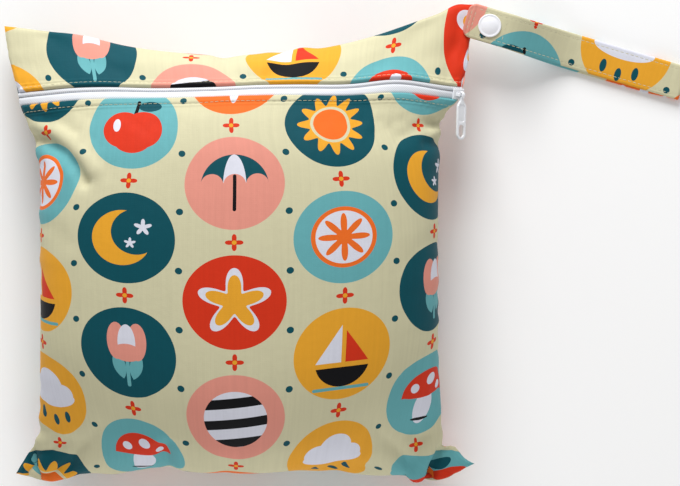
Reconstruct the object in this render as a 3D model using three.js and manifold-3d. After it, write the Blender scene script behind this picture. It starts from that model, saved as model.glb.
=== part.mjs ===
// Zippered cloth wet bag, stuffed and lying on its back.
// Millimetres. X runs to the bag's right, Y to its top seam, Z up from the surface it lies on.
// The origin is the middle of the flat patch that the back panel rests on.

import * as THREE from 'three';
import { RoundedBoxGeometry } from 'three/addons/geometries/RoundedBoxGeometry.js';
import * as BufferGeometryUtils from 'three/addons/utils/BufferGeometryUtils.js';
import Module from 'manifold-3d';

const wasm = await Module();
wasm.setup();

// Stuffed body
const bodyWidth = 240;
const bodyHeight = 270;
const bodyDepth = 104;
const flatHeight = 300;
const clothWall = 1.4;
const seamGap = 0.3;

// Zip
const bandWidth = 7.2;
const bandShare = 0.855;
const tapeWidth = 9;
const tapeWall = 0.8;
const tapeSlit = 1.6;
const coilWidth = 4.2;
const coilThickness = 1.5;
const layerGap = 0.35;
const zipEndBulk = 3;

// Slider
const sliderLength = 8.6;
const sliderWidth = 6.4;
const plateThickness = 1.3;
const plateBase = 0.4;
const plateRound = 0.45;
const edgeRound = 0.25;
const wingLength = 6.2;
const wingWidth = 5.6;
const wingThickness = 1.0;
const postWidth = 0.9;
const postLength = 2.6;
const sliderShare = 0.952;
const barDiameter = 1.4;
const legThickness = 1.1;
const legWidth = 2.0;

// Pull tab
const pullLength = 29;
const pullWidth = 7.2;
const pullThickness = 1.5;
const neckWidth = 2.2;
const shoulderDrop = 5;
const shoulderCurve = 2.7;
const neckFlare = 0.6;
const neckSink = 0.4;
const eyeGap = 0.35;
const eyeWall = 1.1;
const windowWidth = 3.8;
const windowLength = 6.5;
const recessDepth = 0.35;
const rimWidth = 1.2;
const pullLiftDeg = 8;

// Wrist strap and press snap
const strapLength = 133;
const strapWidth = 20.8;
const strapWall = 1.6;
const strapPitch = 2.3;
const strapTurnDeg = -16.4;
const strapDrop = 70;
const freeEndOverlap = 3.5;
const freeEndCurl = 1.2;
const freeEndRounding = 5;
const snapDiameter = 14.1;
const snapDomeHeight = 2.2;
const snapCoreDiameter = 10.4;
const snapCoreThickness = 3.0;
const snapBackThickness = 1.3;
const capEdge = 0.3;
const snapStation = 11.5;

// Side seams, from the bottom corners (along 0) to the top corners (along 1).
// left, right: shares of bodyWidth. leftUp, rightUp: shares of bodyHeight. edge: share of bodyDepth.
// tuck: how far the seam sits under the widest line, in degrees round the section.
const seamRows = [
  { along: 0.00, left: -0.562, right: 0.587, leftUp: -0.467, rightUp: -0.441, edge: 0.115, tuck: 0 },
  { along: 0.04, left: -0.542, right: 0.545, leftUp: -0.441, rightUp: -0.428, edge: 0.154, tuck: 0 },
  { along: 0.09, left: -0.508, right: 0.508, leftUp: -0.396, rightUp: -0.378, edge: 0.231, tuck: 4 },
  { along: 0.16, left: -0.496, right: 0.498, leftUp: -0.326, rightUp: -0.315, edge: 0.317, tuck: 9 },
  { along: 0.27, left: -0.494, right: 0.492, leftUp: -0.219, rightUp: -0.211, edge: 0.404, tuck: 12 },
  { along: 0.42, left: -0.492, right: 0.490, leftUp: -0.067, rightUp: -0.063, edge: 0.452, tuck: 14 },
  { along: 0.57, left: -0.494, right: 0.490, leftUp: 0.089, rightUp: 0.093, edge: 0.452, tuck: 13 },
  { along: 0.70, left: -0.496, right: 0.492, leftUp: 0.222, rightUp: 0.230, edge: 0.413, tuck: 10 },
  { along: 0.78, left: -0.521, right: 0.500, leftUp: 0.296, rightUp: 0.311, edge: 0.346, tuck: 5 },
  { along: 0.84, left: -0.546, right: 0.538, leftUp: 0.342, rightUp: 0.358, edge: 0.288, tuck: 0 },
  { along: 0.87, left: -0.554, right: 0.557, leftUp: 0.376, rightUp: 0.392, edge: 0.269, tuck: 0 },
  { along: 0.93, left: -0.577, right: 0.571, leftUp: 0.444, rightUp: 0.467, edge: 0.202, tuck: 0 },
  { along: 1.00, left: -0.592, right: 0.583, leftUp: 0.526, rightUp: 0.574, edge: 0.135, tuck: 0 },
];

// Middle line of the front. up: share of bodyHeight. height: share of bodyDepth.
// arch: below 1 is a full round section, 2 is a thin lens.
const frontRows = [
  { along: 0.00, up: -0.444, height: 0.346, arch: 2.00 },
  { along: 0.04, up: -0.463, height: 0.462, arch: 2.00 },
  { along: 0.09, up: -0.458, height: 0.606, arch: 1.70 },
  { along: 0.16, up: -0.407, height: 0.780, arch: 1.35 },
  { along: 0.27, up: -0.298, height: 0.920, arch: 1.05 },
  { along: 0.42, up: -0.119, height: 0.981, arch: 0.95 },
  { along: 0.57, up: 0.065, height: 0.985, arch: 0.95 },
  { along: 0.70, up: 0.218, height: 0.930, arch: 1.10 },
  { along: 0.78, up: 0.304, height: 0.848, arch: 1.50 },
  { along: 0.84, up: 0.358, height: 0.752, arch: 1.70 },
  { along: 0.87, up: 0.386, height: 0.695, arch: 1.80 },
  { along: 0.93, up: 0.437, height: 0.585, arch: 2.00 },
  { along: 1.00, up: 0.456, height: 0.423, arch: 2.00 },
];

// Middle line of the back, in the same columns. Heights below the surface are pressed flat on it.
const backRows = [
  { along: 0.00, up: -0.444, height: 0.346, arch: 2.00 },
  { along: 0.05, up: -0.419, height: 0.212, arch: 1.70 },
  { along: 0.10, up: -0.374, height: 0.087, arch: 1.40 },
  { along: 0.17, up: -0.311, height: 0.010, arch: 1.10 },
  { along: 0.27, up: -0.215, height: -0.038, arch: 1.00 },
  { along: 0.42, up: -0.063, height: -0.058, arch: 0.95 },
  { along: 0.57, up: 0.093, height: -0.058, arch: 0.95 },
  { along: 0.70, up: 0.222, height: -0.038, arch: 1.00 },
  { along: 0.80, up: 0.319, height: 0.019, arch: 1.20 },
  { along: 0.87, up: 0.381, height: 0.106, arch: 1.50 },
  { along: 0.94, up: 0.433, height: 0.260, arch: 1.80 },
  { along: 1.00, up: 0.456, height: 0.423, arch: 2.00 },
];

// Sags and waves of the top and bottom seams. across: -1 left corner, 1 right corner.
// rise: share of bodyHeight. spread: width in the same measure as across. from: 0 bottom, 1 top.
const seamWaves = [
  { from: 0, across: -0.86, rise: -0.022, spread: 0.11 },
  { from: 0, across: 0.86, rise: -0.026, spread: 0.11 },
  { from: 0, across: -0.36, rise: 0.006, spread: 0.10 },
  { from: 0, across: 0.66, rise: -0.030, spread: 0.26 },
  { from: 0, across: -0.62, rise: -0.015, spread: 0.18 },
  { from: 1, across: -0.06, rise: -0.008, spread: 0.05 },
  { from: 1, across: 0.27, rise: 0.007, spread: 0.05 },
  { from: 1, across: -0.66, rise: 0.006, spread: 0.12 },
  { from: 1, across: 0.60, rise: -0.009, spread: 0.26 },
  { from: 1, across: 0.93, rise: 0.009, spread: 0.05 },
];
const waveShare = 0.07;

// Creases and dents of the front, each along a line. Places are shares of bodyWidth and bodyHeight,
// depth and spread are shares of bodyDepth. A depth below zero is a raised ridge.
const frontFolds = [
  { fromX: -0.50, fromY: 0.275, toX: -0.385, toY: 0.175, depth: 0.034, spread: 0.055 },
  { fromX: -0.44, fromY: 0.28, toX: -0.365, toY: 0.205, depth: -0.014, spread: 0.055 },
  { fromX: 0.50, fromY: 0.31, toX: 0.40, toY: 0.27, depth: 0.024, spread: 0.048 },
  { fromX: -0.19, fromY: -0.47, toX: -0.18, toY: -0.40, depth: 0.020, spread: 0.050 },
  { fromX: 0.42, fromY: -0.44, toX: 0.34, toY: -0.36, depth: 0.022, spread: 0.055 },
  { fromX: -0.42, fromY: -0.44, toX: -0.34, toY: -0.36, depth: 0.022, spread: 0.055 },
];

const degrees = THREE.MathUtils.degToRad;

// Reads one column of a table between its rows along a smooth curve.
function column(rows, name, along) {
  let i = 0;
  while (i < rows.length - 2 && along > rows[i + 1].along) i += 1;
  const slope = (k) => {
    const a = rows[Math.max(k - 1, 0)];
    const b = rows[Math.min(k + 1, rows.length - 1)];
    return (b[name] - a[name]) / (b.along - a.along);
  };
  const span = rows[i + 1].along - rows[i].along;
  const t = (along - rows[i].along) / span;
  const t2 = t * t;
  const t3 = t2 * t;
  return (2 * t3 - 3 * t2 + 1) * rows[i][name] + (t3 - 2 * t2 + t) * span * slope(i)
    + (3 * t2 - 2 * t3) * rows[i + 1][name] + (t3 - t2) * span * slope(i + 1);
}

function bell(distance, spread) {
  return Math.exp(-((distance / spread) ** 2));
}

function seamWave(across, along) {
  let rise = 0;
  for (const wave of seamWaves) {
    const away = wave.from === 0 ? along : 1 - along;
    rise += wave.rise * bell(across - wave.across, wave.spread) * bell(away, waveShare);
  }
  return rise * bodyHeight;
}

function distanceToLine(x, y, fold) {
  const start = new THREE.Vector2(fold.fromX * bodyWidth, fold.fromY * bodyHeight);
  const end = new THREE.Vector2(fold.toX * bodyWidth, fold.toY * bodyHeight);
  const run = end.clone().sub(start);
  const place = new THREE.Vector2(x, y).sub(start);
  const share = THREE.MathUtils.clamp(place.dot(run) / run.lengthSq(), 0, 1);
  return place.distanceTo(run.multiplyScalar(share));
}

function foldDepth(x, y) {
  let depth = 0;
  for (const fold of frontFolds) {
    depth += fold.depth * bodyDepth * bell(distanceToLine(x, y, fold), fold.spread * bodyDepth);
  }
  return depth;
}

// The extra thickness of the side seams where the ends of the zip are sewn in.
function zipBulk(across, along) {
  const side = THREE.MathUtils.smoothstep(Math.abs(across), 0.5, 1);
  return zipEndBulk * side * bell((along - bandShare) * flatHeight, 2 * tapeWidth);
}

// A point of the cloth's inner skin. across and along both run from 0 to 1 over a panel.
function bodyPoint(rows, across, along) {
  const seam = (name) => column(seamRows, name, along);
  const tuck = Math.max(seam('tuck'), 0);
  const turn = degrees(-tuck + (180 + 2 * tuck) * across);
  const isFront = rows === frontRows;
  const angle = isFront ? turn : degrees(-tuck - (180 - 2 * tuck) * across);
  const share = -Math.cos(angle);
  const left = seam('left') * bodyWidth;
  const right = seam('right') * bodyWidth;
  const x = (left + right) / 2 + share * (right - left) / 2;

  const middleUp = column(rows, 'up', along) * bodyHeight;
  const sideUp = seam(share < 0 ? 'leftUp' : 'rightUp') * bodyHeight;
  const sag = share * share * (1.6 - 0.6 * share * share);
  const y = middleUp + (sideUp - middleUp) * sag + seamWave(share, along);

  const edge = seam('edge') * bodyDepth;
  const below = Math.sin(angle) < 0;
  const side = below ? backRows : rows;
  const middle = column(side, 'height', along) * bodyDepth;
  const arch = column(side, 'arch', along);
  let z = edge + (middle - edge) * Math.abs(Math.sin(angle)) ** arch;
  if (isFront) {
    const free = THREE.MathUtils.smoothstep(along, 0, 0.06) * Math.max(Math.sin(angle), 0);
    z += zipBulk(share, along) - foldDepth(x, y) * free;
    z += seamGap / 2;
  } else {
    z = Math.max(z - seamGap / 2, clothWall);
  }
  return new THREE.Vector3(x, y, z);
}

const frontSkin = (across, along) => bodyPoint(frontRows, across, along);
const backSkin = (across, along) => bodyPoint(backRows, across, along);

// The direction square to a surface, found from two short steps along it.
function squareTo(surface, a, b) {
  const aStep = 0.025;
  const bStep = 0.01;
  const a0 = Math.max(a - aStep, 0);
  const a1 = Math.min(a + aStep, 1);
  const b0 = Math.max(b - bStep, 0);
  const b1 = Math.min(b + bStep, 1);
  const alongA = surface(a1, b).sub(surface(a0, b));
  const alongB = surface(a, b1).sub(surface(a, b0));
  return alongA.cross(alongB).normalize();
}

function closedGeometry(positions, triangles) {
  const geometry = new THREE.BufferGeometry();
  geometry.setAttribute('position', new THREE.Float32BufferAttribute(positions, 3));
  geometry.setIndex(triangles);
  geometry.computeVertexNormals();
  return geometry;
}

function evenSteps(from, to, count) {
  return Array.from({ length: count + 1 }, (_, i) => from + (to - from) * i / count);
}

// A sheet of cloth: the patch of a surface between two offsets, closed round its rim.
// facing is 1 where the surface's own direction is outward and -1 where it is inward.
function thickSheet(surface, aList, bList, outer, inner, facing = 1) {
  const positions = [];
  const triangles = [];
  const columns = aList.length;
  const rows = bList.length;
  const count = columns * rows;
  for (const offset of [outer, inner]) {
    for (const b of bList) {
      for (const a of aList) {
        const point = surface(a, b).addScaledVector(squareTo(surface, a, b), offset * facing);
        positions.push(point.x, point.y, point.z);
      }
    }
  }
  const quad = (p, q, r, s) => {
    if (facing > 0) triangles.push(p, q, r, p, r, s);
    else triangles.push(p, r, q, p, s, r);
  };
  const at = (i, j, layer) => layer * count + j * columns + i;
  for (let j = 0; j < rows - 1; j += 1) {
    for (let i = 0; i < columns - 1; i += 1) {
      quad(at(i, j, 0), at(i + 1, j, 0), at(i + 1, j + 1, 0), at(i, j + 1, 0));
      quad(at(i, j, 1), at(i, j + 1, 1), at(i + 1, j + 1, 1), at(i + 1, j, 1));
    }
  }
  for (let i = 0; i < columns - 1; i += 1) {
    quad(at(i, 0, 1), at(i + 1, 0, 1), at(i + 1, 0, 0), at(i, 0, 0));
    quad(at(i, rows - 1, 0), at(i + 1, rows - 1, 0), at(i + 1, rows - 1, 1), at(i, rows - 1, 1));
  }
  for (let j = 0; j < rows - 1; j += 1) {
    quad(at(0, j, 0), at(0, j + 1, 0), at(0, j + 1, 1), at(0, j, 1));
    const last = columns - 1;
    quad(at(last, j, 1), at(last, j + 1, 1), at(last, j + 1, 0), at(last, j, 0));
  }
  return closedGeometry(positions, triangles);
}

// Joined and cut solids
function solid(geometry, matrix = new THREE.Matrix4()) {
  const bare = geometry.clone();
  bare.deleteAttribute('normal');
  bare.deleteAttribute('uv');
  bare.applyMatrix4(matrix);
  const merged = BufferGeometryUtils.mergeVertices(bare, 1e-4);
  return new wasm.Manifold(new wasm.Mesh({
    numProp: 3,
    vertProperties: new Float32Array(merged.attributes.position.array),
    triVerts: new Uint32Array(merged.index.array),
  }));
}

function geometryOf(body) {
  const mesh = body.getMesh();
  return closedGeometry(Array.from(mesh.vertProperties), Array.from(mesh.triVerts));
}

function place(x, y, z) {
  return new THREE.Matrix4().makeTranslation(x, y, z);
}

// Materials
function material(color, roughness) {
  return new THREE.MeshStandardMaterial({ color, roughness, metalness: 0 });
}

const bag = new THREE.Group();

function addPiece(name, geometry, look, parent = bag) {
  const mesh = new THREE.Mesh(geometry, look);
  mesh.name = name;
  parent.add(mesh);
  return mesh;
}

// Cloth panels
const alongFlat = (distance) => distance / flatHeight;
const lowerLip = bandShare - alongFlat(bandWidth / 2);
const upperLip = bandShare + alongFlat(bandWidth / 2);
const acrossSteps = evenSteps(0, 1, 28);

function addPanels() {
  const lowerTapeEdge = bandShare - alongFlat(tapeWidth);
  const upperTapeEdge = bandShare + alongFlat(tapeWidth);
  const lowerSteps = evenSteps(0, 0.16, 4)
    .concat(evenSteps(0.16, lowerTapeEdge, 13).slice(1), lowerLip);
  const topSteps = [upperLip].concat(evenSteps(upperTapeEdge, 1, 5));
  const backSteps = evenSteps(0, 0.16, 4)
    .concat(evenSteps(0.16, 0.84, 10).slice(1), evenSteps(0.84, 1, 4).slice(1));
  const frontCloth = material('#ddd8b5', 0.7);
  const topCloth = material('#e6e2c0', 0.7);
  const backCloth = material('#cfc9a4', 0.7);
  addPiece('front_lower_panel', thickSheet(frontSkin, acrossSteps, lowerSteps, clothWall, 0), frontCloth);
  addPiece('front_top_panel', thickSheet(frontSkin, acrossSteps, topSteps, clothWall, 0), topCloth);
  addPiece('back_panel', thickSheet(backSkin, acrossSteps, backSteps, clothWall, 0, -1), backCloth);
}

// Zip
function addZip() {
  const tapeCloth = material('#f4f4f6', 0.75);
  const coilNylon = material('#eceef2', 0.4);
  const outer = -layerGap;
  const inner = outer - tapeWall;
  const steps = [0.004, ...acrossSteps.slice(1, -1), 0.996];
  const near = alongFlat(tapeSlit / 2);
  const far = alongFlat(tapeWidth);
  addPiece('zip_tape_lower',
    thickSheet(frontSkin, steps, evenSteps(bandShare - far, bandShare - near, 2), outer, inner), tapeCloth);
  addPiece('zip_tape_upper',
    thickSheet(frontSkin, steps, evenSteps(bandShare + near, bandShare + far, 2), outer, inner), tapeCloth);
  const half = alongFlat(coilWidth / 2);
  const coilOuter = inner - layerGap;
  addPiece('zip_coil',
    thickSheet(frontSkin, acrossSteps.slice(3, -4), evenSteps(bandShare - half, bandShare + half, 2),
      coilOuter, coilOuter - coilThickness), coilNylon);
}

// A frame on the zip: X along the zip, Y across it to the top seam, Z out of the bag.
function zipFrame(station) {
  const origin = frontSkin(station, bandShare);
  const out = squareTo(frontSkin, station, bandShare);
  const run = frontSkin(station + 0.005, bandShare).sub(frontSkin(station - 0.005, bandShare)).normalize();
  const across = new THREE.Vector3().crossVectors(out, run).normalize();
  const square = new THREE.Vector3().crossVectors(across, out);
  const frame = new THREE.Matrix4().makeBasis(square, across, out);
  frame.setPosition(origin);
  return frame;
}

const eyeInner = barDiameter / 2 + eyeGap;
const eyeOuter = eyeInner + eyeWall;
const barHeight = plateBase + plateThickness + eyeGap + eyeOuter;

function sliderGeometry() {
  const plate = new RoundedBoxGeometry(sliderLength, sliderWidth, plateThickness, 2, plateRound);
  const wing = new RoundedBoxGeometry(wingLength, wingWidth, wingThickness, 1, edgeRound);
  const wingTop = -(3 * layerGap + tapeWall);
  const postHeight = plateBase - wingTop + wingThickness;
  const post = new THREE.BoxGeometry(postLength, postWidth, postHeight);
  let body = solid(plate, place(0, 0, plateBase + plateThickness / 2));
  body = body.add(solid(wing, place(0, 0, wingTop - wingThickness / 2)));
  body = body.add(solid(post, place(0, 0, (plateBase + wingTop) / 2)));
  const legPlace = neckWidth / 2 + eyeGap + legThickness / 2;
  const legHeight = barHeight + barDiameter / 2 - plateBase - plateThickness / 2;
  for (const side of [-1, 1]) {
    const leg = new RoundedBoxGeometry(legThickness, legWidth, legHeight, 1, edgeRound);
    body = body.add(solid(leg, place(side * legPlace, 0, barHeight + barDiameter / 2 - legHeight / 2)));
  }
  const bar = new THREE.CylinderGeometry(barDiameter / 2, barDiameter / 2, 2 * legPlace, 16);
  bar.rotateZ(Math.PI / 2);
  body = body.add(solid(bar, place(0, 0, barHeight)));
  return geometryOf(body);
}

const pullEnd = -(pullLength - eyeOuter - pullWidth / 2);
const shoulder = -eyeOuter - shoulderDrop;

// The pull tab's outline: a narrow neck at the eye, a straight body and a round lower end.
function pullOutline() {
  const half = pullWidth / 2;
  const neck = neckWidth / 2;
  const neckLow = -eyeOuter - 2 * neckSink;
  const flare = neck + neckFlare;
  const curveTop = shoulder + shoulderCurve;
  const outline = new THREE.Shape();
  outline.moveTo(neck, -eyeOuter + neckSink);
  outline.lineTo(-neck, -eyeOuter + neckSink);
  outline.lineTo(-neck, neckLow);
  outline.bezierCurveTo(-flare, curveTop, -half, curveTop, -half, shoulder);
  outline.lineTo(-half, pullEnd);
  outline.absarc(0, pullEnd, half, Math.PI, 2 * Math.PI, false);
  outline.lineTo(half, shoulder);
  outline.bezierCurveTo(half, curveTop, flare, curveTop, neck, neckLow);
  outline.closePath();
  return outline;
}

function slab(outline, thickness) {
  const settings = { depth: thickness, bevelEnabled: false, curveSegments: 8 };
  const geometry = new THREE.ExtrudeGeometry(outline, settings);
  geometry.translate(0, 0, -thickness / 2);
  return geometry;
}

function pullGeometry() {
  let body = solid(slab(pullOutline(), pullThickness));
  const opening = new THREE.Shape();
  opening.absarc(0, pullEnd, windowWidth / 2, Math.PI, 2 * Math.PI, false);
  opening.absarc(0, pullEnd + windowLength - windowWidth / 2, windowWidth / 2, 0, Math.PI, false);
  opening.closePath();
  body = body.subtract(solid(slab(opening, 2 * pullThickness)));
  const recessLength = shoulder - (pullEnd + windowLength + rimWidth);
  const recessWidth = pullWidth - 2 * rimWidth;
  for (const side of [-1, 1]) {
    const recess = new RoundedBoxGeometry(recessWidth, recessLength, 2 * recessDepth, 1, edgeRound);
    body = body.subtract(solid(recess, place(0, shoulder - recessLength / 2, side * pullThickness / 2)));
  }
  const eye = new THREE.CylinderGeometry(eyeOuter, eyeOuter, neckWidth, 24);
  const hole = new THREE.CylinderGeometry(eyeInner, eyeInner, 2 * neckWidth, 24);
  eye.rotateZ(Math.PI / 2);
  hole.rotateZ(Math.PI / 2);
  body = body.add(solid(eye)).subtract(solid(hole));
  return geometryOf(body);
}

function addSliderAndPull() {
  const plastic = material('#f3f4f8', 0.3);
  const onZip = new THREE.Group();
  onZip.applyMatrix4(zipFrame(sliderShare));
  bag.add(onZip);
  addPiece('zip_slider', sliderGeometry(), plastic, onZip);
  const swing = new THREE.Group();
  swing.position.z = barHeight;
  swing.rotation.x = -degrees(pullLiftDeg);
  onZip.add(swing);
  addPiece('zip_pull', pullGeometry(), plastic, swing);
}

// Wrist strap: a flat band from the top right corner, folded back over itself to end on the ear
const earShare = 0.977;
const rootPoint = frontSkin(1, earShare);
const strapFloor = strapWall / 2;
const rootHeight = rootPoint.z + clothWall / 2;

function strapLow(distance) {
  const fall = 1 - THREE.MathUtils.smoothstep(distance, snapStation + snapDiameter / 2, strapDrop);
  return strapFloor + (rootHeight - strapFloor) * fall;
}

// The space between the two layers: wide enough for the snap, then nearly closed.
function strapPitchAt(distance) {
  const snapPitch = snapCoreThickness + strapWall + 2 * layerGap;
  const blend = THREE.MathUtils.smoothstep(distance, snapStation + snapCoreDiameter / 2, strapDrop);
  return snapPitch + (strapPitch - snapPitch) * blend;
}

const foldRadius = strapPitch / 2;
const straight = strapLength - foldRadius;
const rootStart = 3 * seamGap + clothWall;

// Shares of the strap: out below to the fold, round it, and back on top to the free end over the ear.
const foldStartShare = 0.47;
const foldEndShare = 1 - foldStartShare;
const endStartShare = 0.98;

function strapPath(along) {
  if (along < foldStartShare) {
    const distance = rootStart + (straight - rootStart) * along / foldStartShare;
    return { distance, height: strapLow(distance) };
  }
  if (along > foldEndShare) {
    const distance = straight - (straight + freeEndOverlap) * (along - foldEndShare) / foldStartShare;
    const curl = freeEndCurl * THREE.MathUtils.smoothstep(-distance, -snapStation / 2, freeEndOverlap);
    return { distance, height: strapLow(distance) + strapPitchAt(distance) + curl };
  }
  const turn = Math.PI * (along - foldStartShare) / (foldEndShare - foldStartShare);
  return {
    distance: straight + foldRadius * Math.sin(turn),
    height: strapFloor + foldRadius * (1 - Math.cos(turn)),
  };
}

function strapFrame() {
  const frame = new THREE.Group();
  frame.position.set(rootPoint.x, rootPoint.y, 0);
  frame.rotation.z = degrees(strapTurnDeg);
  bag.add(frame);
  return frame;
}

function strapSkin(across, along) {
  const path = strapPath(along);
  const toEnd = (1 - along) / foldStartShare * (straight + freeEndOverlap);
  const rounding = Math.max(freeEndRounding - toEnd, 0);
  const half = strapWidth / 2 - (freeEndRounding - Math.sqrt(freeEndRounding ** 2 - rounding ** 2));
  return new THREE.Vector3(path.distance, (across * 2 - 1) * half, path.height);
}

function strapSteps() {
  const low = evenSteps(0, foldStartShare, 18);
  const fold = evenSteps(foldStartShare, foldEndShare, 6).slice(1);
  const high = evenSteps(foldEndShare, endStartShare, 17).slice(1);
  const end = evenSteps(endStartShare, 1, 4).slice(1);
  return low.concat(fold, high, end);
}

function addStrap(frame) {
  const cloth = material('#e7e2c2', 0.7);
  const geometry = thickSheet(strapSkin, evenSteps(0, 1, 4), strapSteps(), strapWall / 2, -strapWall / 2);
  addPiece('wrist_strap', geometry, cloth, frame);
}

// Press snap: a domed cap on the free end, the pressed-together core between the layers, a cap below.
function capGeometry(diameter, height) {
  const radius = diameter / 2;
  const rim = 0.35 * height;
  const edge = [[0, 0], [radius - capEdge, 0], [radius, capEdge], [radius, rim]];
  const profile = edge.map(([r, z]) => new THREE.Vector2(r, z));
  for (const t of evenSteps(0, 1, 4).slice(1)) {
    const angle = t * Math.PI / 2;
    const domeRadius = (radius - capEdge) * Math.cos(angle);
    profile.push(new THREE.Vector2(domeRadius, rim + (height - rim) * Math.sin(angle)));
  }
  profile[profile.length - 1].x = 0;
  const geometry = new THREE.LatheGeometry(profile, 24);
  geometry.rotateX(Math.PI / 2);
  return geometry;
}

function addSnap(frame) {
  const plastic = material('#f2f3f7', 0.25);
  const low = strapLow(snapStation);
  const seat = new THREE.Group();
  seat.position.set(snapStation, 0, low);
  frame.add(seat);
  const pitch = strapPitchAt(snapStation);
  const cap = addPiece('snap_cap', capGeometry(snapDiameter, snapDomeHeight), plastic, seat);
  cap.position.z = pitch + strapWall / 2 + layerGap;
  const coreRadius = snapCoreDiameter / 2;
  const core = new THREE.CylinderGeometry(coreRadius, coreRadius, snapCoreThickness - layerGap, 24);
  core.rotateX(Math.PI / 2);
  addPiece('snap_core', core, plastic, seat).position.z = pitch / 2;
  const back = addPiece('snap_back', capGeometry(snapCoreDiameter, snapBackThickness), plastic, seat);
  back.rotation.x = Math.PI;
  back.position.z = -strapWall / 2 - layerGap;
}

addPanels();
addZip();
addSliderAndPull();
const strapBase = strapFrame();
addStrap(strapBase);
addSnap(strapBase);

export default bag;
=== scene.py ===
import math

import bmesh
import bpy
import numpy as np
from mathutils import Matrix, Vector


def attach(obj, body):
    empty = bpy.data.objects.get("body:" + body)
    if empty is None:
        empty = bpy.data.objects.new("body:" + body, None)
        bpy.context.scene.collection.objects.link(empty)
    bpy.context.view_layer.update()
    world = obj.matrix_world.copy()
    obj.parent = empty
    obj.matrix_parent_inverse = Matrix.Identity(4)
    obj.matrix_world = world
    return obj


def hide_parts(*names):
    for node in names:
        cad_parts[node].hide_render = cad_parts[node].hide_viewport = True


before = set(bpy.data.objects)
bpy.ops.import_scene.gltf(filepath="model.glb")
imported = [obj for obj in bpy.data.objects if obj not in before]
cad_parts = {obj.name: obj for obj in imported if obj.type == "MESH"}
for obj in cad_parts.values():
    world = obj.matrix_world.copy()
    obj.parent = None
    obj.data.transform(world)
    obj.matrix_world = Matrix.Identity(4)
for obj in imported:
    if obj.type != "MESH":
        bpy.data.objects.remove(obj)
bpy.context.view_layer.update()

bl_info = {
    "name": "Cloth wet bag",
    "version": (1, 0, 0),
    "blender": (4, 5, 0),
    "location": "3D View > Sidebar > Wet Bag",
    "description": "A stuffed zippered wet bag of printed knit with a wrist strap and a press snap",
    "category": "Add Mesh",
}

# Lengths below are millimetres, and MM turns them to metres.
MM = 0.001

# The stuffed body that the panels follow
BODY_WIDTH = 240.0
BODY_HEIGHT = 270.0
BODY_DEPTH = 104.0
FLAT_WIDTH = 284.0
FLAT_HEIGHT = 300.0
CLOTH = 1.4
BAND_LINE = 0.855
BAND_WIDTH = 7.2
LOWER_LIP = BAND_LINE - BAND_WIDTH / 2 / FLAT_HEIGHT
UPPER_LIP = BAND_LINE + BAND_WIDTH / 2 / FLAT_HEIGHT
TAPE_REACH = 9.0
ZIP_END_BULK = 3.0
TAPE_ROOM = 1.3

# Side seams from the bottom corners (along 0) to the top ones (along 1), as shares of the
# body's sizes
SEAM_TABLE = (
    ("along", "left", "right", "left_up", "right_up", "edge", "tuck"),
    (
        (0.00, -0.562, 0.587, -0.467, -0.441, 0.115, 0),
        (0.04, -0.542, 0.545, -0.441, -0.428, 0.154, 0),
        (0.09, -0.508, 0.508, -0.396, -0.378, 0.231, 4),
        (0.16, -0.496, 0.498, -0.326, -0.315, 0.317, 9),
        (0.27, -0.494, 0.492, -0.219, -0.211, 0.404, 12),
        (0.42, -0.492, 0.490, -0.067, -0.063, 0.452, 14),
        (0.57, -0.494, 0.490, 0.089, 0.093, 0.452, 13),
        (0.70, -0.496, 0.492, 0.222, 0.230, 0.413, 10),
        (0.78, -0.521, 0.500, 0.296, 0.311, 0.346, 5),
        (0.84, -0.546, 0.538, 0.342, 0.358, 0.288, 0),
        (0.87, -0.554, 0.557, 0.376, 0.392, 0.269, 0),
        (0.93, -0.577, 0.571, 0.444, 0.467, 0.202, 0),
        (1.00, -0.592, 0.583, 0.526, 0.574, 0.135, 0),
    ),
)

# Middle lines of the front and the back: how far up, how high, and how full the section's arch is
PANEL_TABLES = {
    "front": (
        ("along", "up", "height", "arch"),
        (
            (0.00, -0.444, 0.346, 2.00),
            (0.04, -0.463, 0.462, 2.00),
            (0.09, -0.458, 0.606, 1.70),
            (0.16, -0.407, 0.780, 1.35),
            (0.27, -0.298, 0.920, 1.05),
            (0.42, -0.119, 0.981, 0.95),
            (0.57, 0.065, 0.985, 0.95),
            (0.70, 0.218, 0.930, 1.10),
            (0.78, 0.304, 0.848, 1.50),
            (0.84, 0.358, 0.752, 1.70),
            (0.87, 0.386, 0.695, 1.80),
            (0.93, 0.437, 0.585, 2.00),
            (1.00, 0.456, 0.423, 2.00),
        ),
    ),
    "back": (
        ("along", "up", "height", "arch"),
        (
            (0.00, -0.444, 0.346, 2.00),
            (0.05, -0.419, 0.212, 1.70),
            (0.10, -0.374, 0.087, 1.40),
            (0.17, -0.311, 0.010, 1.10),
            (0.27, -0.215, -0.038, 1.00),
            (0.42, -0.063, -0.058, 0.95),
            (0.57, 0.093, -0.058, 0.95),
            (0.70, 0.222, -0.038, 1.00),
            (0.80, 0.319, 0.019, 1.20),
            (0.87, 0.381, 0.106, 1.50),
            (0.94, 0.433, 0.260, 1.80),
            (1.00, 0.456, 0.423, 2.00),
        ),
    ),
}

# Waves of the bottom seam (end 0) and top seam (end 1): place across, rise and spread
SEAM_WAVES = (
    (0, -0.86, -0.022, 0.11),
    (0, 0.86, -0.026, 0.11),
    (0, -0.36, 0.006, 0.10),
    (0, 0.66, -0.030, 0.26),
    (0, -0.62, -0.015, 0.18),
    (1, -0.06, -0.008, 0.05),
    (1, 0.27, 0.007, 0.05),
    (1, -0.66, 0.006, 0.12),
    (1, 0.60, -0.009, 0.26),
    (1, 0.93, 0.009, 0.05),
)
WAVE_REACH = 0.07

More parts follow.
